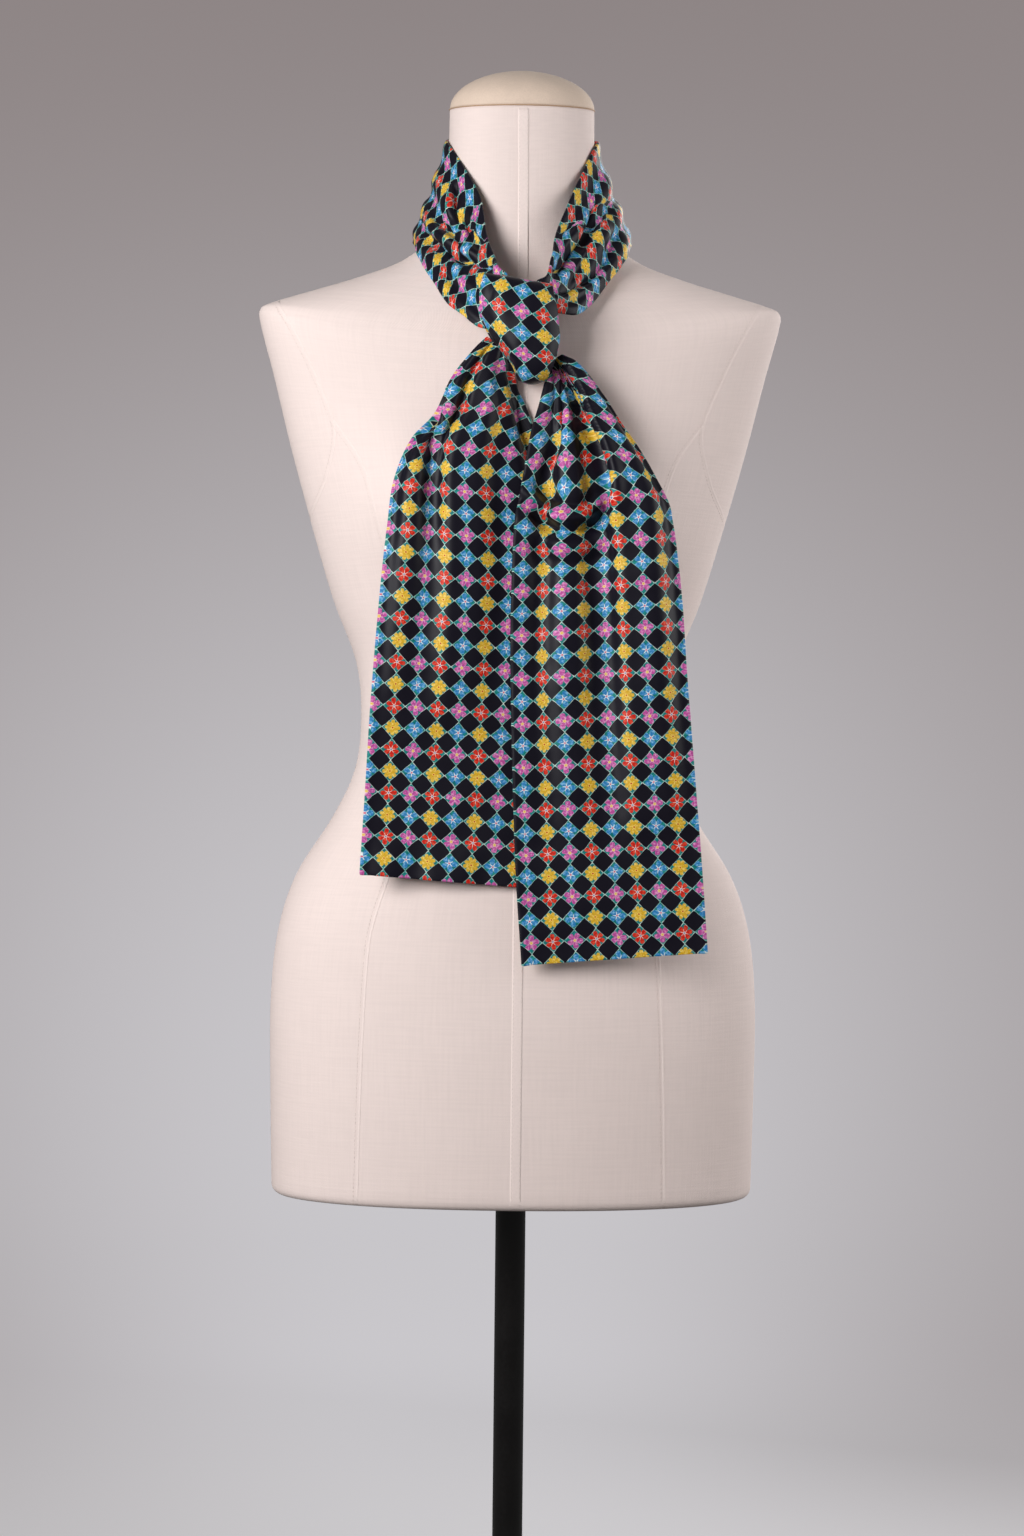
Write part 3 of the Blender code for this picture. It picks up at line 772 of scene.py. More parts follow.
def end_faces(middle, last, count):
    """The faces that close a ring, each with the points of its front that its print is taken from."""
    turns = len(EDGE_TURNS)
    first = middle + 1 + turns
    front = [first + j for j in range(last + 1)]
    back = [middle - j if j <= middle else count - (j - middle) for j in range(last + 1)]
    loops = [[front[j], front[j + 1], back[j + 1], back[j]] for j in range(last)]
    loops.append([back[0], *range(middle + 1, first), front[0]])
    loops.append([front[-1], *range(front[-1] + 1, front[-1] + 1 + turns), back[-1]])
    return [(loop, [front[min(max(k - first, 0), last)] for k in loop]) for loop in loops]


def soft_edge(grid, cloth):
    """Half the wall's thickness at each point: more along the folded edges."""
    run = run_across(grid)
    gap = np.minimum(run, run[:, -1:] - run)
    narrow = np.clip(run[:, -1:] / 0.05, 0.3, 1)
    return 0.5 * (cloth.thickness + cloth.edge_roll * narrow * np.exp(-((gap / EDGE_REACH) ** 2)))


def swept(name, lines, profile):
    """One closed strip for each line of (points, normals), with a profile of (sideways, lift) places."""
    points = []
    faces = []
    count = len(profile)
    for line, normal in lines:
        along = unit(np.gradient(line, axis=0))
        side = unit(np.cross(along, normal))
        start = len(points)
        for place, s, n in zip(line, side, normal):
            points += [place + s * a + n * b for a, b in profile]
        for row in range(len(line) - 1):
            for k in range(count):
                m = (k + 1) % count
                low = start + row * count
                faces.append((low + k, low + m, low + count + m, low + count + k))
        faces.append(tuple(start + k for k in range(count))[::-1])
        faces.append(tuple(start + (len(line) - 1) * count + k for k in range(count)))
    mesh = mesh_of(name, points, faces)
    bm = bmesh.new()
    bm.from_mesh(mesh)
    bmesh.ops.recalc_face_normals(bm, faces=bm.faces[:])
    bm.to_mesh(mesh)
    bm.free()
    return mesh


# ---------------------------------------------------------------- materials


class Nodes:
    """Adds nodes to a tree and links them, so that a sum reads like one."""

    def __init__(self, tree):
        self.tree = tree

    def add(self, kind, inputs=(), **settings):
        """A node with its settings, and its inputs linked or set by name or number."""
        node = self.tree.nodes.new(kind)
        for key, value in settings.items():
            setattr(node, key, value)
        return self.fill(node, dict(inputs))

    def fill(self, node, inputs):
        """The node with these inputs linked, or set on the node itself."""
        for key, value in inputs.items():
            if isinstance(value, bpy.types.NodeSocket):
                self.tree.links.new(value, node.inputs[key])
            else:
                node.inputs[key].default_value = value
        return node

    def math(self, operation, *values):
        """One step of a sum."""
        return self.add("ShaderNodeMath", enumerate(values), operation=operation).outputs[0]

    def minus(self, first, second):
        """The first value less the second."""
        return self.math("SUBTRACT", first, second)

    def times(self, first, second):
        """The two values multiplied."""
        return self.math("MULTIPLY", first, second)

    def vector(self, operation, *values):
        """One step of a sum of vectors or colours."""
        node = self.add("ShaderNodeVectorMath", enumerate(values), operation=operation)
        return node.outputs["Value" if operation == "DOT_PRODUCT" else "Vector"]

    def scaled(self, values, size):
        """A vector or colour multiplied by a number."""
        node = self.add("ShaderNodeVectorMath", {0: values, "Scale": size}, operation="SCALE")
        return node.outputs["Vector"]

    def ramp(self, value, low, high, start=0.0, end=1.0):
        """A value carried from one range to another, smoothly, and kept within it."""
        node = self.add("ShaderNodeMapRange", {0: value, 1: low, 2: high, 3: start, 4: end})
        node.interpolation_type = "SMOOTHSTEP"
        return node.outputs[0]

    def mix(self, factor, first, second):
        """The first colour carried towards the second."""
        return self.add("ShaderNodeMix", {0: factor, 6: first, 7: second}, data_type="RGBA").outputs[2]

    def noise(self, place, scale, detail=2.0, roughness=0.5):
        """A noise texture's value, which is about 0.5 in the middle."""
        inputs = {"Vector": place, "Scale": scale, "Detail": detail, "Roughness": roughness}
        return self.add("ShaderNodeTexNoise", inputs).outputs["Fac"]

    def bump(self, height, strength, distance):
        """The normals of a surface that is raised by a height."""
        inputs = {"Strength": strength, "Distance": distance, "Height": height}
        return self.add("ShaderNodeBump", inputs).outputs[0]

    def on_object(self):
        """The place on the object, in metres."""
        return self.add("ShaderNodeTexCoord").outputs["Object"]

    def on_map(self):
        """The place on the map named print."""
        return self.add("ShaderNodeUVMap", uv_map="print").outputs["UV"]


def new_material(name):
    """A new material of this name, as (material, nodes, its Principled shader)."""
    material = bpy.data.materials.new(name)
    material.use_nodes = True
    return material, Nodes(material.node_tree), material.node_tree.nodes["Principled BSDF"]


def full(tint):
    """A property's colour with its alpha."""
    return (*tint, 1.0)


def shaded(tint, share, lift=0.0):
    """A colour made darker or lighter."""
    return (*(share * value + lift for value in tint[:3]), 1.0)


def flower_weights(n, odd_across, odd_along):
    """A vector with 1 for pink, blue or red in its x, y or z, and none for yellow."""
    even_across, even_along = n.minus(1.0, odd_across), n.minus(1.0, odd_along)
    pink = n.times(even_across, even_along)
    blue = n.times(even_across, odd_along)
    red = n.times(odd_across, even_along)
    return n.add("ShaderNodeCombineXYZ", {0: pink, 1: blue, 2: red}).outputs[0]


def printed_silk():
    """Silk twill printed with dark diamonds, and with a small flower in each diamond between them."""
    found = bpy.data.materials.get("printed_silk")
    if found:
        return found
    cloth = bpy.context.scene.cravat
    material, n, shader = new_material("printed_silk")
    place = n.on_map()
    smudge = n.add("ShaderNodeTexNoise", {"Vector": place, "Scale": 3.1, "Detail": 1.0}).outputs["Color"]
    shift = n.scaled(n.vector("SUBTRACT", smudge, (0.5, 0.5, 0.5)), 0.055)
    split = n.add("ShaderNodeSeparateXYZ", {0: n.vector("ADD", place, shift)})
    across, along = split.outputs[0], split.outputs[1]
    i = n.math("FLOOR", n.math("ADD", across, 0.5))
    j = n.math("FLOOR", n.math("ADD", along, 0.5))
    x, y = n.minus(across, i), n.minus(along, j)
    size_x, size_y = n.math("ABSOLUTE", x), n.math("ABSOLUTE", y)

    # Dark diamonds with slightly rounded corners, and the fine pale line round them.
    corner = 1.09
    far_x = n.math("POWER", n.minus(0.5, size_x), corner)
    far_y = n.math("POWER", n.minus(0.5, size_y), corner)
    from_dark = n.math("POWER", n.math("ADD", far_x, far_y), 1 / corner)
    dark = n.ramp(from_dark, 0.476, 0.496, 1.0, 0.0)
    line = n.ramp(n.math("ADD", size_x, size_y), 0.452, 0.474)

    # Which flower: columns of pink and blue lie between columns of red and yellow.
    odd_i = n.math("FLOORED_MODULO", i, 2.0)
    odd_j = n.math("FLOORED_MODULO", j, 2.0)
    weights = flower_weights(n, odd_i, odd_j)

    def number(pink, blue, red, yellow):
        share = n.vector("DOT_PRODUCT", weights, (pink - yellow, blue - yellow, red - yellow))
        return n.math("ADD", share, yellow)

    def tint(pink, blue, red, yellow):
        return n.mix(odd_i, n.mix(odd_j, pink, blue), n.mix(odd_j, red, yellow))

    # The petals: their number, how deep the notches between them are, and how far they reach.
    cell = n.add("ShaderNodeCombineXYZ", {0: i, 1: j}).outputs[0]
    draw = n.add("ShaderNodeTexWhiteNoise", {"Vector": cell}, noise_dimensions="3D").outputs["Value"]
    turn = n.times(draw, 2 * math.pi)
    angle = n.math("ADD", n.math("ARCTAN2", y, x), turn)
    radius = n.math("SQRT", n.math("ADD", n.times(x, x), n.times(y, y)))
    petals = number(5.0, 5.0, 6.0, 8.0)
    open_petal = n.math("ABSOLUTE", n.math("COSINE", n.times(n.times(angle, petals), 0.5)))
    notch = n.math("POWER", n.minus(1.0, open_petal), 1.7)
    depth = number(0.56, 0.62, 0.58, 0.36)
    size = number(0.362, 0.372, 0.362, 0.352)
    # Flowers fill their diamonds, so they reach a little further towards its corners.
    square = n.times(n.math("MAXIMUM", size_x, size_y), 0.15)
    reach = n.times(size, n.minus(1.0, n.times(notch, depth)))
    reach = n.math("ADD", n.times(reach, 0.90), square)
    petal = n.ramp(n.minus(reach, radius), 0.0, 0.022)
    slit = n.math("DIVIDE", n.times(n.times(radius, open_petal), 2.0), petals)
    slit = n.ramp(n.minus(slit, number(0.004, 0.013, 0.006, 0.002)), 0.0, 0.010, 1.0, 0.0)
    heart = n.ramp(n.minus(radius, number(0.060, 0.050, 0.048, 0.062)), 0.0, 0.02, 1.0, 0.0)
    pip = n.ramp(radius, 0.026, 0.048, 1.0, 0.0)

    # The colours, from the ground up to the dark diamonds.
    ground = n.mix(n.ramp(n.noise(place, 5.0), 0.35, 0.7), full(cloth.ground), srgb(30, 150, 146))
    flower = tint(full(cloth.pink), full(cloth.blue), full(cloth.red), full(cloth.yellow))
    pale = tint(srgb(238, 164, 212), srgb(132, 196, 232), srgb(240, 92, 62), srgb(250, 222, 120))
    slit_colour = tint(srgb(240, 196, 226), srgb(232, 244, 244), srgb(250, 226, 214), srgb(214, 148, 40))
    heart_colour = tint(srgb(248, 222, 150), srgb(236, 226, 232), srgb(238, 232, 232), srgb(250, 214, 92))
    pip_colour = tint(srgb(236, 196, 90), srgb(214, 92, 128), srgb(122, 138, 176), srgb(196, 40, 40))
    outline = n.mix(n.ramp(n.noise(place, 7.0), 0.3, 0.7), full(cloth.outline), srgb(84, 176, 166))
    flower = n.mix(n.ramp(n.noise(place, 9.0), 0.42, 0.72), flower, pale)
    flower = n.mix(slit, flower, slit_colour)
    flower = n.mix(heart, flower, heart_colour)
    flower = n.mix(pip, flower, pip_colour)
    motif = n.mix(line, n.mix(petal, ground, flower), outline)
    printed = n.mix(dark, motif, full(cloth.diamond))

    # The twill's ribs run aslant, and the threads vary a little.
    flat = n.add("ShaderNodeSeparateXYZ", {0: place})
    ribs_apart = cloth.twill * math.sqrt(2) / cloth.repeat
    rib = n.math("SINE", n.times(n.math("ADD", flat.outputs[0], flat.outputs[1]), 2 * math.pi / ribs_apart))
    threads = n.noise(place, 38.0, 3.0, 0.6)
    shade = n.math("ADD", n.times(rib, 0.030), n.times(n.minus(threads, 0.5), 0.30))
    looks = {
        "Base Color": n.scaled(printed, n.math("ADD", shade, 1.0)),
        "Roughness": n.ramp(threads, 0.2, 0.8, 0.40, 0.54),
        "Specular IOR Level": 0.22,
        "Sheen Weight": 0.04,
        "Sheen Roughness": 0.35,
        "Normal": n.bump(n.math("ADD", n.times(rib, 0.5), threads), 0.09, 0.0003),
    }
    n.fill(shader, looks)
    return material


def woven_cover():
    """Plain cotton, woven of slightly uneven threads."""
    form = bpy.context.scene.dress_form
    material, n, shader = new_material("woven_cover")
    place = n.on_map()
    split = n.add("ShaderNodeSeparateXYZ", {0: place})
    pitch = 2 * math.pi / form.weave
    warp, weft = (n.math("SINE", n.times(split.outputs[k], pitch)) for k in (0, 1))
    long_slub, wide_slub = (
        n.noise(n.add("ShaderNodeMapping", {"Vector": place, "Scale": scale}).outputs[0], 1.0)
        for scale in ((620.0, 26.0, 1.0), (26.0, 620.0, 1.0))
    )
    slub = n.math("ADD", long_slub, wide_slub)
    base = full(form.cover)
    cloudy = n.mix(n.ramp(n.noise(place, 9.0, 3.0), 0.30, 0.70), base, shaded(base, 0.965))
    looks = {
        "Base Color": n.mix(n.ramp(slub, 0.70, 1.35, 0.0, 0.45), cloudy, shaded(base, 0.90)),
        "Roughness": n.ramp(slub, 0.6, 1.4, 0.78, 0.92),
        "Specular IOR Level": 0.25,
        "Sheen Weight": 0.08,
        "Normal": n.bump(n.math("ADD", n.times(n.times(warp, weft), 0.5), n.times(slub, 1.2)), 0.30, 0.0004),
    }
    n.fill(shader, looks)
    return material


def cap_cloth():
    """The cap's undyed cloth, a little shaded and worn."""
    material, n, shader = new_material("cap_cloth")
    place = n.on_object()
    threads = n.noise(place, 900.0, 3.0)
    base = full(bpy.context.scene.dress_form.cap)
    cloudy = n.mix(n.ramp(n.noise(place, 60.0, 4.0), 0.3, 0.7), base, shaded(base, 0.93))
    looks = {
        "Base Color": n.mix(n.ramp(threads, 0.35, 0.75, 0.0, 0.35), cloudy, shaded(base, 0.82)),
        "Roughness": n.ramp(threads, 0.3, 0.7, 0.72, 0.88),
        "Sheen Weight": 0.08,
        "Normal": n.bump(threads, 0.30, 0.0004),
    }
    n.fill(shader, looks)
    return material


def seam_cloth():
    """The cover's cloth where it is folded at a seam."""
    material, n, shader = new_material("seam_cloth")
    threads = n.noise(n.on_object(), 700.0, 3.0)
    base = full(bpy.context.scene.dress_form.cover)
    looks = {
        "Base Color": n.mix(n.ramp(threads, 0.35, 0.75), base, shaded(base, 0.96)),
        "Roughness": n.ramp(threads, 0.3, 0.7, 0.78, 0.92),
        "Sheen Weight": 0.08,
        "Normal": n.bump(threads, 0.15, 0.0003),
    }
    n.fill(shader, looks)
    return material


def thread(name, tint):
    """Twisted sewing thread."""
    material, n, shader = new_material(name)
    strands = n.noise(n.on_object(), 1500.0)
    looks = {
        "Base Color": n.mix(n.ramp(strands, 0.35, 0.65), tint, shaded(tint, 0.86)),
        "Roughness": n.ramp(strands, 0.3, 0.7, 0.6, 0.8),
    }
    n.fill(shader, looks)
    return material


def satin_enamel():
    """Black enamel on metal, baked on and a little uneven."""
    material, n, shader = new_material("satin_enamel")
    place = n.on_object()
    grain = n.noise(place, 420.0, 3.0)
    cloudy = n.noise(place, 22.0, 3.0)
    base = full(bpy.context.scene.dress_form.metal)
    looks = {
        "Base Color": n.mix(n.ramp(cloudy, 0.35, 0.75, 0.0, 0.7), base, shaded(base, 1.5, 0.002)),
        "Roughness": n.ramp(n.math("ADD", grain, cloudy), 0.7, 1.3, 0.30, 0.46),
        "Normal": n.bump(grain, 0.12, 0.0002),
    }
    n.fill(shader, looks)
    return material


def backdrop_paper(studio):
    """Matt paper, pale at the floor, with painted shade that makes the wall greyer towards its top and its
    sides. It glows with painted light of its own, even further out and weaker near the middle.
    """
    material, n, shader = new_material("backdrop_paper")
    place = n.on_object()
    split = n.add("ShaderNodeSeparateXYZ", {0: place})
    level = n.vector("MULTIPLY", place, (1.0, 1.0, 0.0))
    away = n.add("ShaderNodeVectorMath", {0: level}, operation="LENGTH").outputs["Value"]
    # Painted shade: the wall is made darker towards its top, and darker towards its sides.
    wall = n.mix(n.ramp(split.outputs[2], 0.0, 3.6), full(studio.wall_low), full(studio.wall_high_painted_shade))
    sideways = n.math("DIVIDE", split.outputs[0], n.math("ADD", away, 0.01))
    painted_vignette_share = n.math("ABSOLUTE", n.math("ADD", sideways, 0.03))
    wall = n.mix(n.ramp(painted_vignette_share, 0.03, 0.34, 0.0, 0.62), wall, full(studio.wall_high_painted_shade))
    paper = n.mix(n.ramp(away, 1.5, 4.0), full(studio.floor), wall)
    # The paper glows with painted light: weaker near the middle of the floor, and stronger further out.
    looks = {
        "Base Color": paper,
        "Emission Color": paper,
        "Emission Strength": n.ramp(away, 0.6, 4.0, 0.25, 0.80),
        "Roughness": 0.95,
        "Specular IOR Level": 0.1,
    }
    n.fill(shader, looks)
    return material


# ------------------------------------------------------- the form's surface


def torso_rings():
    """The torso's rings from its rounded bottom edge to the top of the neck."""
    rings = [torso_ring(section) for section in through(TORSO_SECTIONS, TORSO_RINGS)]
    base = rings[0]
    away = np.linalg.norm(base[:, :2], axis=1, keepdims=True)
    rounded = []
    for step in range(HEM_RINGS):
        turn = 0.5 * math.pi * (1 - step / HEM_RINGS)
        inset = HEM_ROUND * (1 - math.cos(turn))
        ring = base.copy()
        ring[:, :2] *= 1 - inset / away
        ring[:, 2] = TORSO_BOTTOM + HEM_ROUND * (1 - math.sin(turn))
        rounded.append(ring)
    return rounded + [ring for ring in rings if ring[:, 2].min() > TORSO_BOTTOM + HEM_ROUND]


def form_tree(rings):
    """A tree that finds where a ray meets the form."""
    quads = ring_faces(len(rings), len(rings[0]))[1]
    return BVHTree.FromPolygons(np.concatenate(rings).tolist(), quads.tolist())


# From each side, where a ray for a place on it starts, and which way it goes.
RAYS = {
    "front": (lambda a, b: Vector((a, -1, b)), Vector((0, 1, 0))),
    "back": (lambda a, b: Vector((a, 1, b)), Vector((0, -1, 0))),
    "side": (lambda a, b: Vector((1, a, b)), Vector((-1, 0, 0))),
}


def on_form(tree, seen_from, line, mirrored):
    """Points and normals along a line drawn on the form, seen from one side."""
    flat = flat_line(line, 200)
    run = np.concatenate([[0], np.cumsum(np.linalg.norm(np.diff(flat, axis=0), axis=1))])
    at = np.linspace(0, run[-1], max(8, int(run[-1] / LINE_STEP)))
    start, direction = RAYS[seen_from]
    points = []
    normals = []
    for a, b in zip(np.interp(at, run, flat[:, 0]), np.interp(at, run, flat[:, 1])):
        place, normal, _, _ = tree.ray_cast(start(a, b), direction)
        if place is None:
            continue
        if normal.dot(direction) > 0:
            normal = -normal
        points.append(place)
        normals.append(normal)
    points, normals = np.array(points), np.array(normals)
    for _ in range(6):
        normals[1:-1] = unit(normals[:-2] + 2 * normals[1:-1] + normals[2:])
    mirror = (-1, 1, 1) if mirrored else (1, 1, 1)
    return points * mirror, normals * mirror


def seam_lines(tree):
    """Each seam of the form, as (points, normals, kind)."""
    return [
        (*on_form(tree, seen_from, line, mirrored), kind)
        for seen_from, line, kind, sides in SEAMS
        for mirrored in sides
    ]


def clear_of_form(grid, tree, gap):
    """The grid with every point that is too near the form brought out in front of it."""
    moved = grid.copy()
    for row in range(grid.shape[0]):
        for column in range(grid.shape[1]):
            x, y, z = grid[row, column]
            place = tree.ray_cast(Vector((x, -1, z)), Vector((0, 1, 0)))[0]
            if place is not None and y > place.y - gap:
                moved[row, column, 1] = place.y - gap
    return moved


# ---------------------------------------------------------- geometry nodes


def stitch_tree():
    """A tree that lays one short stitch after another along each line of a curve."""
    tree = bpy.data.node_groups.new("row_of_stitches", "GeometryNodeTree")
    sockets = tree.interface
    sockets.new_socket("Lines", in_out="INPUT", socket_type="NodeSocketGeometry")
    for name in ("Pitch", "Length", "Thickness"):
        sockets.new_socket(name, in_out="INPUT", socket_type="NodeSocketFloat")
    sockets.new_socket("Thread", in_out="INPUT", socket_type="NodeSocketMaterial")
    sockets.new_socket("Stitches", in_out="OUTPUT", socket_type="NodeSocketGeometry")
    n = Nodes(tree)
    given = n.add("NodeGroupInput").outputs
    spacing = {"Curve": given["Lines"], "Length": given["Pitch"]}
    rows = n.add("GeometryNodeResampleCurve", spacing, mode="LENGTH")
    tangent = n.add("GeometryNodeInputTangent").outputs[0]
    turn = n.add("FunctionNodeAlignRotationToVector", {"Vector": tangent}, axis="X")
    stitch = n.add("GeometryNodeMeshUVSphere", {"Segments": 6, "Rings": 5, "Radius": 0.5})
    jitter = n.add("FunctionNodeRandomValue", data_type="FLOAT")
    low, high, seed = (s for s in jitter.inputs if s.enabled and s.name in ("Min", "Max", "Seed"))
    low.default_value = SHORTEST_STITCH
    high.default_value = LONGEST_STITCH
    seed.default_value = 7
    drawn = next(s for s in jitter.outputs if s.enabled)
    thick = given["Thickness"]
    size = n.add("ShaderNodeCombineXYZ", {0: n.times(given["Length"], drawn), 1: thick, 2: thick}).outputs[0]
    laying = {
        "Points": rows.outputs[0],
        "Instance": stitch.outputs["Mesh"],
        "Rotation": turn.outputs[0],
        "Scale": size,
    }
    laid = n.add("GeometryNodeInstanceOnPoints", laying)
    real = n.add("GeometryNodeRealizeInstances", {0: laid.outputs[0]})
    smooth = n.add("GeometryNodeSetShadeSmooth", {"Geometry": real.outputs[0]})
    looks = n.add("GeometryNodeSetMaterial", {"Geometry": smooth.outputs[0], "Material": given["Thread"]})
    n.add("NodeGroupOutput", {0: looks.outputs[0]})
    return tree


def stitches(name, lines, look):
    """A piece made of the stitches along these lines of points."""
    form = bpy.context.scene.dress_form
    curve = bpy.data.curves.new(name, "CURVE")
    curve.dimensions = "3D"
    for line in lines:
        spline = curve.splines.new("POLY")
        spline.points.add(len(line) - 1)
        spline.points.foreach_set("co", np.column_stack([line, np.ones(len(line))]).ravel())
    rows = bpy.data.objects.new(name + "_rows", curve)
    bpy.context.scene.collection.objects.link(rows)
    tree = stitch_tree()
    modifier = rows.modifiers.new("stitches", "NODES")
    modifier.node_group = tree
    values = {
        "Pitch": form.stitch_pitch,
        "Length": form.stitch_length,
        "Thickness": form.stitch_thickness,
        "Thread": look,
    }
    for item in tree.interface.items_tree:
        if item.in_out == "INPUT" and item.name in values:
            modifier[item.identifier] = values[item.name]
    bpy.context.view_layer.update()
    made = rows.evaluated_get(bpy.context.evaluated_depsgraph_get())
    mesh = bpy.data.meshes.new_from_object(made)
    bpy.data.objects.remove(rows)
    mesh.name = name
    return add_piece(name, mesh, look, None)


# --------------------------------------------------------------- operators


class CRAVAT_OT_stage(bpy.types.Operator):
    """Makes the floor, the backdrop, the lights and the camera"""

    bl_idname = "cravat.stage"
    bl_label = "Stage"

    def execute(self, context):
        studio = context.scene.studio
        backdrop(studio)
        for name, (place, target, size, power) in LIGHTS.items():
            area_light(name, place, target, size, getattr(studio, power))
        world = bpy.data.worlds.new("soft_room")
        world.use_nodes = True
        shading = world.node_tree.nodes["Background"]
        shading.inputs["Color"].default_value = (1.0, 0.985, 0.975, 1.0)
        shading.inputs["Strength"].default_value = 0.12
        context.scene.world = world
        context.scene.view_settings.view_transform = "Standard"
        front_camera(context)
        return {"FINISHED"}


def front_camera(context):
    """The camera in front of the form, a little rolled."""
    data = bpy.data.cameras.new("camera")
    data.lens = 74.86
    data.sensor_fit = "VERTICAL"
    data.sensor_height = 36.0
    data.clip_end = 30.0
    camera = bpy.data.objects.new("camera", data)
    right = Vector((math.cos(CAMERA_ROLL), 0, math.sin(CAMERA_ROLL)))
    up = Vector((-math.sin(CAMERA_ROLL), 0, math.cos(CAMERA_ROLL)))
    turn = Matrix((right, up, Vector((0, -1, 0)))).transposed().to_4x4()
    camera.matrix_world = Matrix.Translation(CAMERA_PLACE) @ turn
    context.scene.collection.objects.link(camera)
    context.scene.camera = camera


def area_light(name, place, target, size, power):
    """A soft square light aimed at a point, which lights the object and isn't seen itself."""
    data = bpy.data.lights.new(name, "AREA")
    data.size = size
    data.energy = power
    light = bpy.data.objects.new(name, data)
    light.location = place
    light.visible_camera = False
    light.rotation_euler = (Vector(target) - Vector(place)).to_track_quat("-Z", "Y").to_euler()
    bpy.context.scene.collection.objects.link(light)


def backdrop(studio):
    """A round pale floor that curves up into a wall, far enough out for a camera on any side."""
    level = BACKDROP_RADIUS - BACKDROP_BOW
    profile = [(radius, 0.0) for radius in (0.002, 1.0, 2.0, 3.5, level)]
    for step in range(1, 13):
        turn = 0.5 * math.pi * step / 12
        profile.append((level + BACKDROP_BOW * math.sin(turn), BACKDROP_BOW - BACKDROP_BOW * math.cos(turn)))
    profile.append((BACKDROP_RADIUS, BACKDROP_HIGH))
    rings = turned_rings(profile, 96)
    index, quads = ring_faces(len(rings), len(rings[0]))
    mesh = mesh_of("backdrop", np.concatenate(rings), [*quads, index[0][::-1]])
    mesh.flip_normals()
    mesh.materials.append(backdrop_paper(studio))
    made = bpy.data.objects.new("backdrop", mesh)
    # The backdrop's painted glow is seen by the camera only, and it lights and mirrors nothing.
    made.visible_diffuse = False
    made.visible_glossy = False
    bpy.context.scene.collection.objects.link(made)


class CRAVAT_OT_dress_form(bpy.types.Operator):
    """Makes the form's covered body and the cap on its neck"""

    bl_idname = "cravat.dress_form"
    bl_label = "Dress Form"

    def execute(self, context):
        rings = torso_rings()
        turn = np.linspace(0, 2 * math.pi, TORSO_POINTS + 1)
        height = [ring[0, 2] for ring in rings]
        mesh = lofted("torso_cover", rings, turn * 0.14, height)
        add_piece("torso_cover", mesh, woven_cover(), "form_torso")
        top = rings[-1]
        add_piece("neck_cap_cover", cap_mesh(top), cap_cloth(), "neck_cap")
        joint = joint_ring(top)
        add_piece("neck_joint_piping", joint, thread("piping_cloth", srgb(196, 160, 128)), None)
        return {"FINISHED"}


def cap_frame(top):
    """The middle of the neck's top ring, and the way that it faces."""
    lean = unit(top[TORSO_POINTS // 4] - top[3 * TORSO_POINTS // 4])
    return top.mean(axis=0), np.cross([1.0, 0.0, 0.0], lean)


def cap_mesh(top):
    """The low dome on the top of the neck."""
    centre, up = cap_frame(top)
    rings = []
    for step in range(CAP_RINGS):
        turn = 0.5 * math.pi * step / (CAP_RINGS - 0.4)
        rise = SEAM_GAP + CAP_HEIGHT * math.sin(turn)
        rings.append(centre + (top - centre) * math.cos(turn) + up * rise)
    return lofted("neck_cap_cover", rings)


def joint_ring(top):
    """The fine piping where the cap meets the neck."""
    centre, up = cap_frame(top)
    line = np.vstack([top[::3], top[:1]])
    around = unit(line - centre)
    angles = np.linspace(0, 2 * math.pi, 7)[:-1]
    profile = [(PIPING_RADIUS * math.cos(angle), PIPING_RADIUS * math.sin(angle)) for angle in angles]
    return swept("neck_joint_piping", [(line + around * PIPING_OUT, around)], profile)


class CRAVAT_OT_form_seams(bpy.types.Operator):
    """Makes the seams of the form's cover, with their stitches"""

    bl_idname = "cravat.form_seams"
    bl_label = "Form Seams"

    def execute(self, context):
        form = context.scene.dress_form
        lines = seam_lines(form_tree(torso_rings()))
        folded = seam_cloth()
        for name, kind in (("cover_lapped_seams", LAPPED_SEAM), ("cover_plain_seams", PLAIN_SEAM)):
            strips = [(points, normals) for points, normals, made in lines if made is kind]
            mesh = swept(name, strips, seam_profile(kind[0], kind[1]))
            add_piece(name, mesh, folded, None)
        rows = []
        for points, normals, (_, _, places, lift) in lines:
            side = unit(np.cross(unit(np.gradient(points, axis=0)), normals))
            rows += [points + side * place + normals * lift for place in places]
        stitches("cover_stitches", rows, thread("cover_thread", full(form.thread)))
        return {"FINISHED"}


def seam_profile(half, rise):
    """A seam's section, higher on the side that is folded over, as (sideways, lift)."""
    return [
        (-half, SEAM_SUNK),
        (-half, 0.5 * rise),
        (-0.7 * half, rise),
        (0.0, 0.9 * rise),
        (0.7 * half, 0.5 * rise),
        (half, 0.0),
        (half, SEAM_SUNK),
    ]


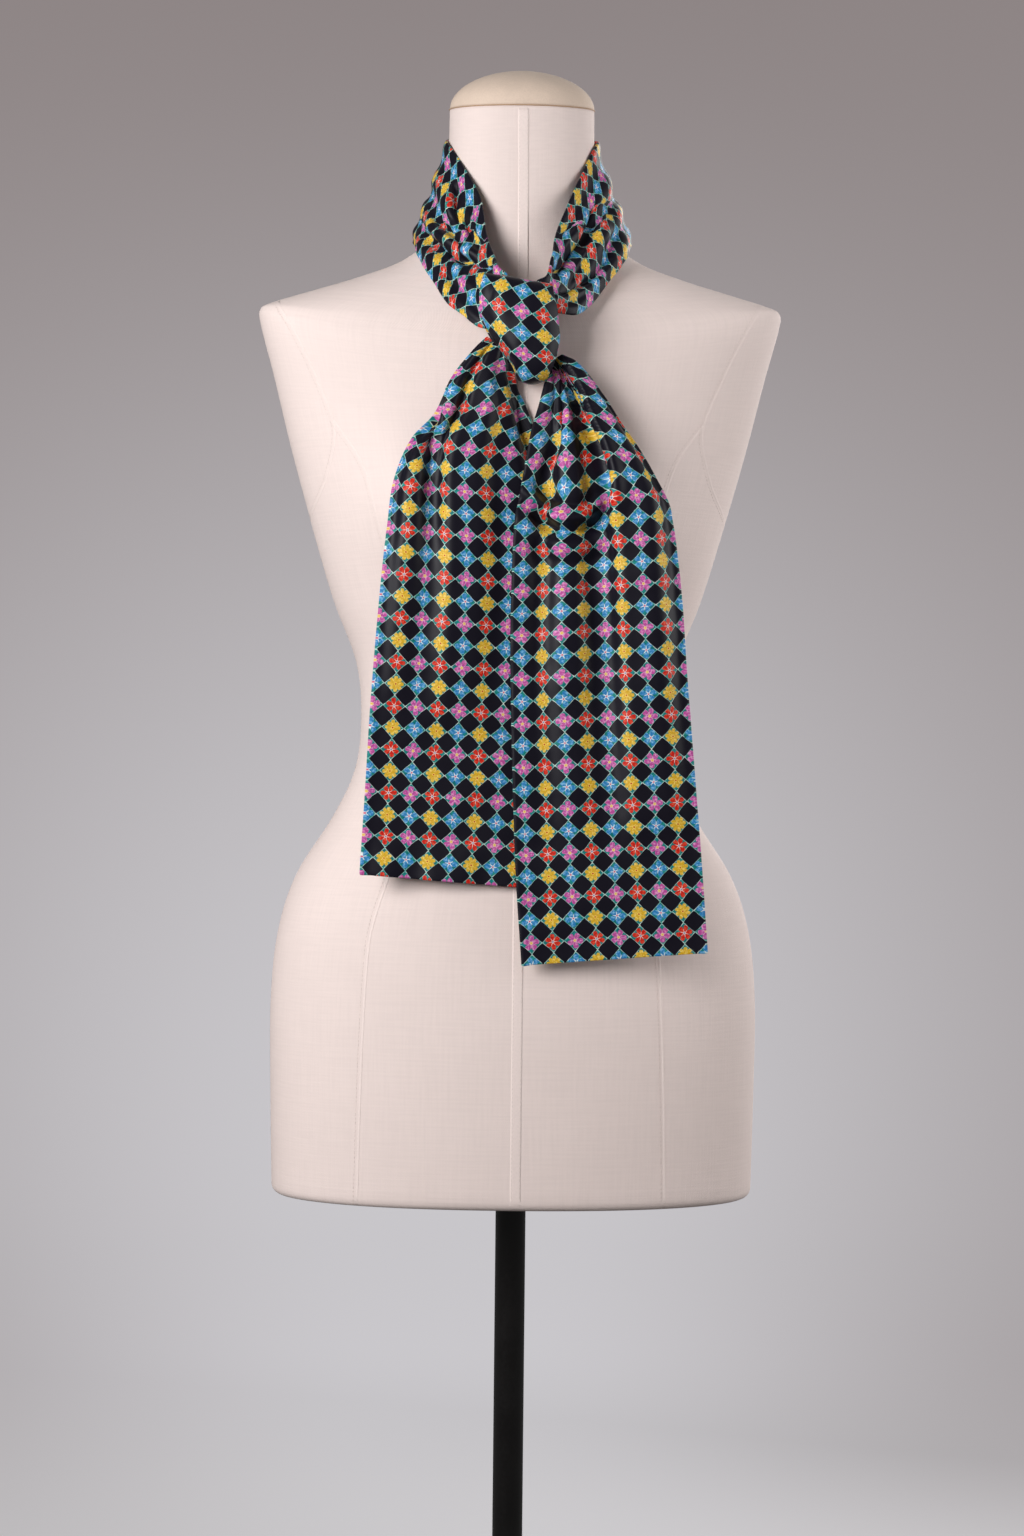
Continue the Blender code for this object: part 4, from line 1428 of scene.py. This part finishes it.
class CRAVAT_OT_stand(bpy.types.Operator):
    """Makes the pole and the round foot"""

    bl_idname = "cravat.stand"
    bl_label = "Stand"

    def execute(self, context):
        plate_top = TORSO_BOTTOM - SEAM_GAP
        plate_low = plate_top - PLATE_THICK
        pole = [
            (HUB, FOOT_THICK + SEAM_GAP),
            (POLE_RADIUS + 0.006, FOOT_THICK + SEAM_GAP),
            (POLE_RADIUS + 0.006, FOOT_THICK + 0.008),
            (POLE_RADIUS + 0.004, FOOT_THICK + 0.010),
            (POLE_RADIUS, FOOT_THICK + 0.012),
            (POLE_RADIUS, plate_low - 0.004),
            (POLE_RADIUS + 0.002, plate_low - 0.001),
            (PLATE_RADIUS - 0.001, plate_low),
            (PLATE_RADIUS, plate_low + 0.001),
            (PLATE_RADIUS, plate_top - 0.001),
            (PLATE_RADIUS - 0.001, plate_top),
            (HUB, plate_top),
        ]
        foot = [
            (HUB, 0.0),
            (FOOT_RADIUS - 0.0008, 0.0),
            (FOOT_RADIUS, 0.0008),
            (FOOT_RADIUS, FOOT_THICK - 0.0016),
            (FOOT_RADIUS - 0.0005, FOOT_THICK - 0.0005),
            (FOOT_RADIUS - 0.0016, FOOT_THICK),
            (HUB, FOOT_THICK),
        ]
        enamel = satin_enamel()
        parts = (("pole_tube", pole, 64, "pole"), ("foot_plate", foot, 160, "foot"))
        for name, profile, count, node in parts:
            mesh = lofted(name, turned_rings(profile, count))
            mesh.set_sharp_from_angle(angle=math.radians(35))
            add_piece(name, mesh, enamel, node)
        return {"FINISHED"}


def turned_rings(profile, count):
    """Rings of a turned shape, from a profile of (radius, height) that runs upwards."""
    angle = np.linspace(0, 2 * math.pi, count, endpoint=False)
    return [
        np.column_stack([radius * np.cos(angle), radius * np.sin(angle), np.full(count, height)])
        for radius, height in profile
    ]


class CRAVAT_OT_tails(bpy.types.Operator):
    """Makes the cravat's two hanging tails"""

    bl_idname = "cravat.tails"
    bl_label = "Tails"

    def execute(self, context):
        tree = form_tree(torso_rings())
        left = (LEFT_TAIL_OUTER, LEFT_TAIL_INNER, LEFT_TAIL_FOLDS, LEFT_TAIL_FULLNESS)
        right = (RIGHT_TAIL_INNER, RIGHT_TAIL_OUTER, RIGHT_TAIL_FOLDS, RIGHT_TAIL_FULLNESS)
        left_print = (LEFT_TAIL_TUCKS, LEFT_TAIL_MOTIF, NO_SAG)
        right_print = (RIGHT_TAIL_TUCKS, RIGHT_TAIL_MOTIF, RIGHT_TAIL_SAG)
        tail("left", left, LEFT_TAIL_CREASES, left_print, 3, tree)
        tail("right", right, RIGHT_TAIL_CREASES, right_print, 5, tree)
        return {"FINISHED"}


def tail(side, shape, creases, print_facts, seed, tree):
    """One hanging tail, creased, and kept clear of the form."""
    cloth = bpy.context.scene.cravat
    inside = (0.0, 1.0, 1.2)
    plain = stretch_of_cloth(*shape, TAIL_COUNTS)
    grid = rumpled(plain, inside, creases, cloth.rumple, 0.034, seed)
    grid = clear_of_form(grid, tree, CLEAR_OF_FORM)
    tucks, motif, (drop, x, z, wide, high) = print_facts
    run = run_along(plain)
    along = run[-1:] - run
    along = along + drop * np.exp(-(((plain[..., 0] - x) / wide) ** 2) - ((plain[..., 2] - z) / high) ** 2)
    maps = placed_print(grid, run_across(plain, tucks), along, motif, cloth.repeat)
    name = f"tail_{side}_silk"
    piece = silk_piece(name, grid, inside, maps, soft_edge(grid, cloth), f"cravat_tail_{side}")


def rumpled(plain, inside, creases, height, apart, seed):
    """A grid of points with its creases, and with slight waves of this height with crests this far apart."""
    normal = outward_normals(plain, inside)
    return creased(plain, normal, creases) + normal * (height * waviness(plain, apart, seed))[..., None]


class CRAVAT_OT_neck_band(bpy.types.Operator):
    """Makes the part of the cravat that goes round the neck"""

    bl_idname = "cravat.neck_band"
    bl_label = "Neck Band"

    def execute(self, context):
        cloth = context.scene.cravat
        inside = (0.0, 0.01, 1.46)
        plain = stretch_of_cloth(BAND_UPPER, BAND_LOWER, BAND_FOLDS, BAND_FULLNESS, BAND_COUNTS)
        grid = rumpled(plain, inside, BAND_CREASES, cloth.rumple, 0.026, 11)
        along = np.broadcast_to(run_along(plain).mean(axis=1, keepdims=True), grid.shape[:2])
        across = run_across(plain, BAND_TUCKS)
        maps = placed_print(grid, across, along, BAND_LEFT_MOTIF, cloth.repeat)
        maps = eased_print(grid, maps, BAND_LEFT_MOTIF, BAND_RIGHT_MOTIF)
        piece = silk_piece("neck_band_silk", grid, inside, maps, soft_edge(grid, cloth), "cravat_neck_band")
        return {"FINISHED"}


class CRAVAT_OT_knot(bpy.types.Operator):
    """Makes the knot"""

    bl_idname = "cravat.knot"
    bl_label = "Knot"

    def execute(self, context):
        cloth = context.scene.cravat
        inside = (0.0, -0.108, 1.420)
        plain = knot_grid()
        grid = rumpled(plain, inside, KNOT_CREASES, 0.6 * cloth.rumple, 0.022, 17)
        down = np.broadcast_to(run_along(plain).mean(axis=1, keepdims=True), grid.shape[:2])
        side = run_across(plain)
        side = side - 0.5 * side[:, -1:]
        turn = KNOT_PRINT_TURN
        across = side * math.cos(turn) + down * math.sin(turn)
        along = down * math.cos(turn) - side * math.sin(turn)
        maps = placed_print(grid, across, along, KNOT_MOTIF, cloth.repeat)
        piece = silk_piece("knot_silk", grid, inside, maps, soft_edge(grid, cloth), "cravat_knot")
        return {"FINISHED"}


class CRAVAT_PT_panel(bpy.types.Panel):
    """Lists what can be made"""

    bl_idname = "CRAVAT_PT_panel"
    bl_label = "Silk Cravat"
    bl_space_type = "VIEW_3D"
    bl_region_type = "UI"
    bl_category = "Cravat"

    def draw(self, context):
        for maker in MAKERS:
            self.layout.operator(maker.bl_idname)
        for group in (context.scene.cravat, context.scene.dress_form, context.scene.studio):
            box = self.layout.box()
            for name in group.__annotations__:
                box.prop(group, name)


MAKERS = (
    CRAVAT_OT_stage,
    CRAVAT_OT_dress_form,
    CRAVAT_OT_form_seams,
    CRAVAT_OT_stand,
    CRAVAT_OT_neck_band,
    CRAVAT_OT_knot,
    CRAVAT_OT_tails,
)
GROUPS = (("cravat", CravatSettings), ("dress_form", FormSettings), ("studio", StudioSettings))


def register():
    """Adds the settings, the operators and the panel."""
    for name, group in GROUPS:
        bpy.utils.register_class(group)
        setattr(bpy.types.Scene, name, PointerProperty(type=group))
    for made in (*MAKERS, CRAVAT_PT_panel):
        bpy.utils.register_class(made)


def unregister():
    """Takes them away again."""
    for made in (CRAVAT_PT_panel, *reversed(MAKERS)):
        bpy.utils.unregister_class(made)
    for name, group in reversed(GROUPS):
        delattr(bpy.types.Scene, name)
        bpy.utils.unregister_class(group)


def main():
    """Makes every piece and the stage."""
    register()
    bpy.ops.cravat.stage()
    bpy.ops.cravat.dress_form()
    bpy.ops.cravat.form_seams()
    bpy.ops.cravat.stand()
    bpy.ops.cravat.neck_band()
    bpy.ops.cravat.knot()
    bpy.ops.cravat.tails()


if __name__ == "__main__":
    main()
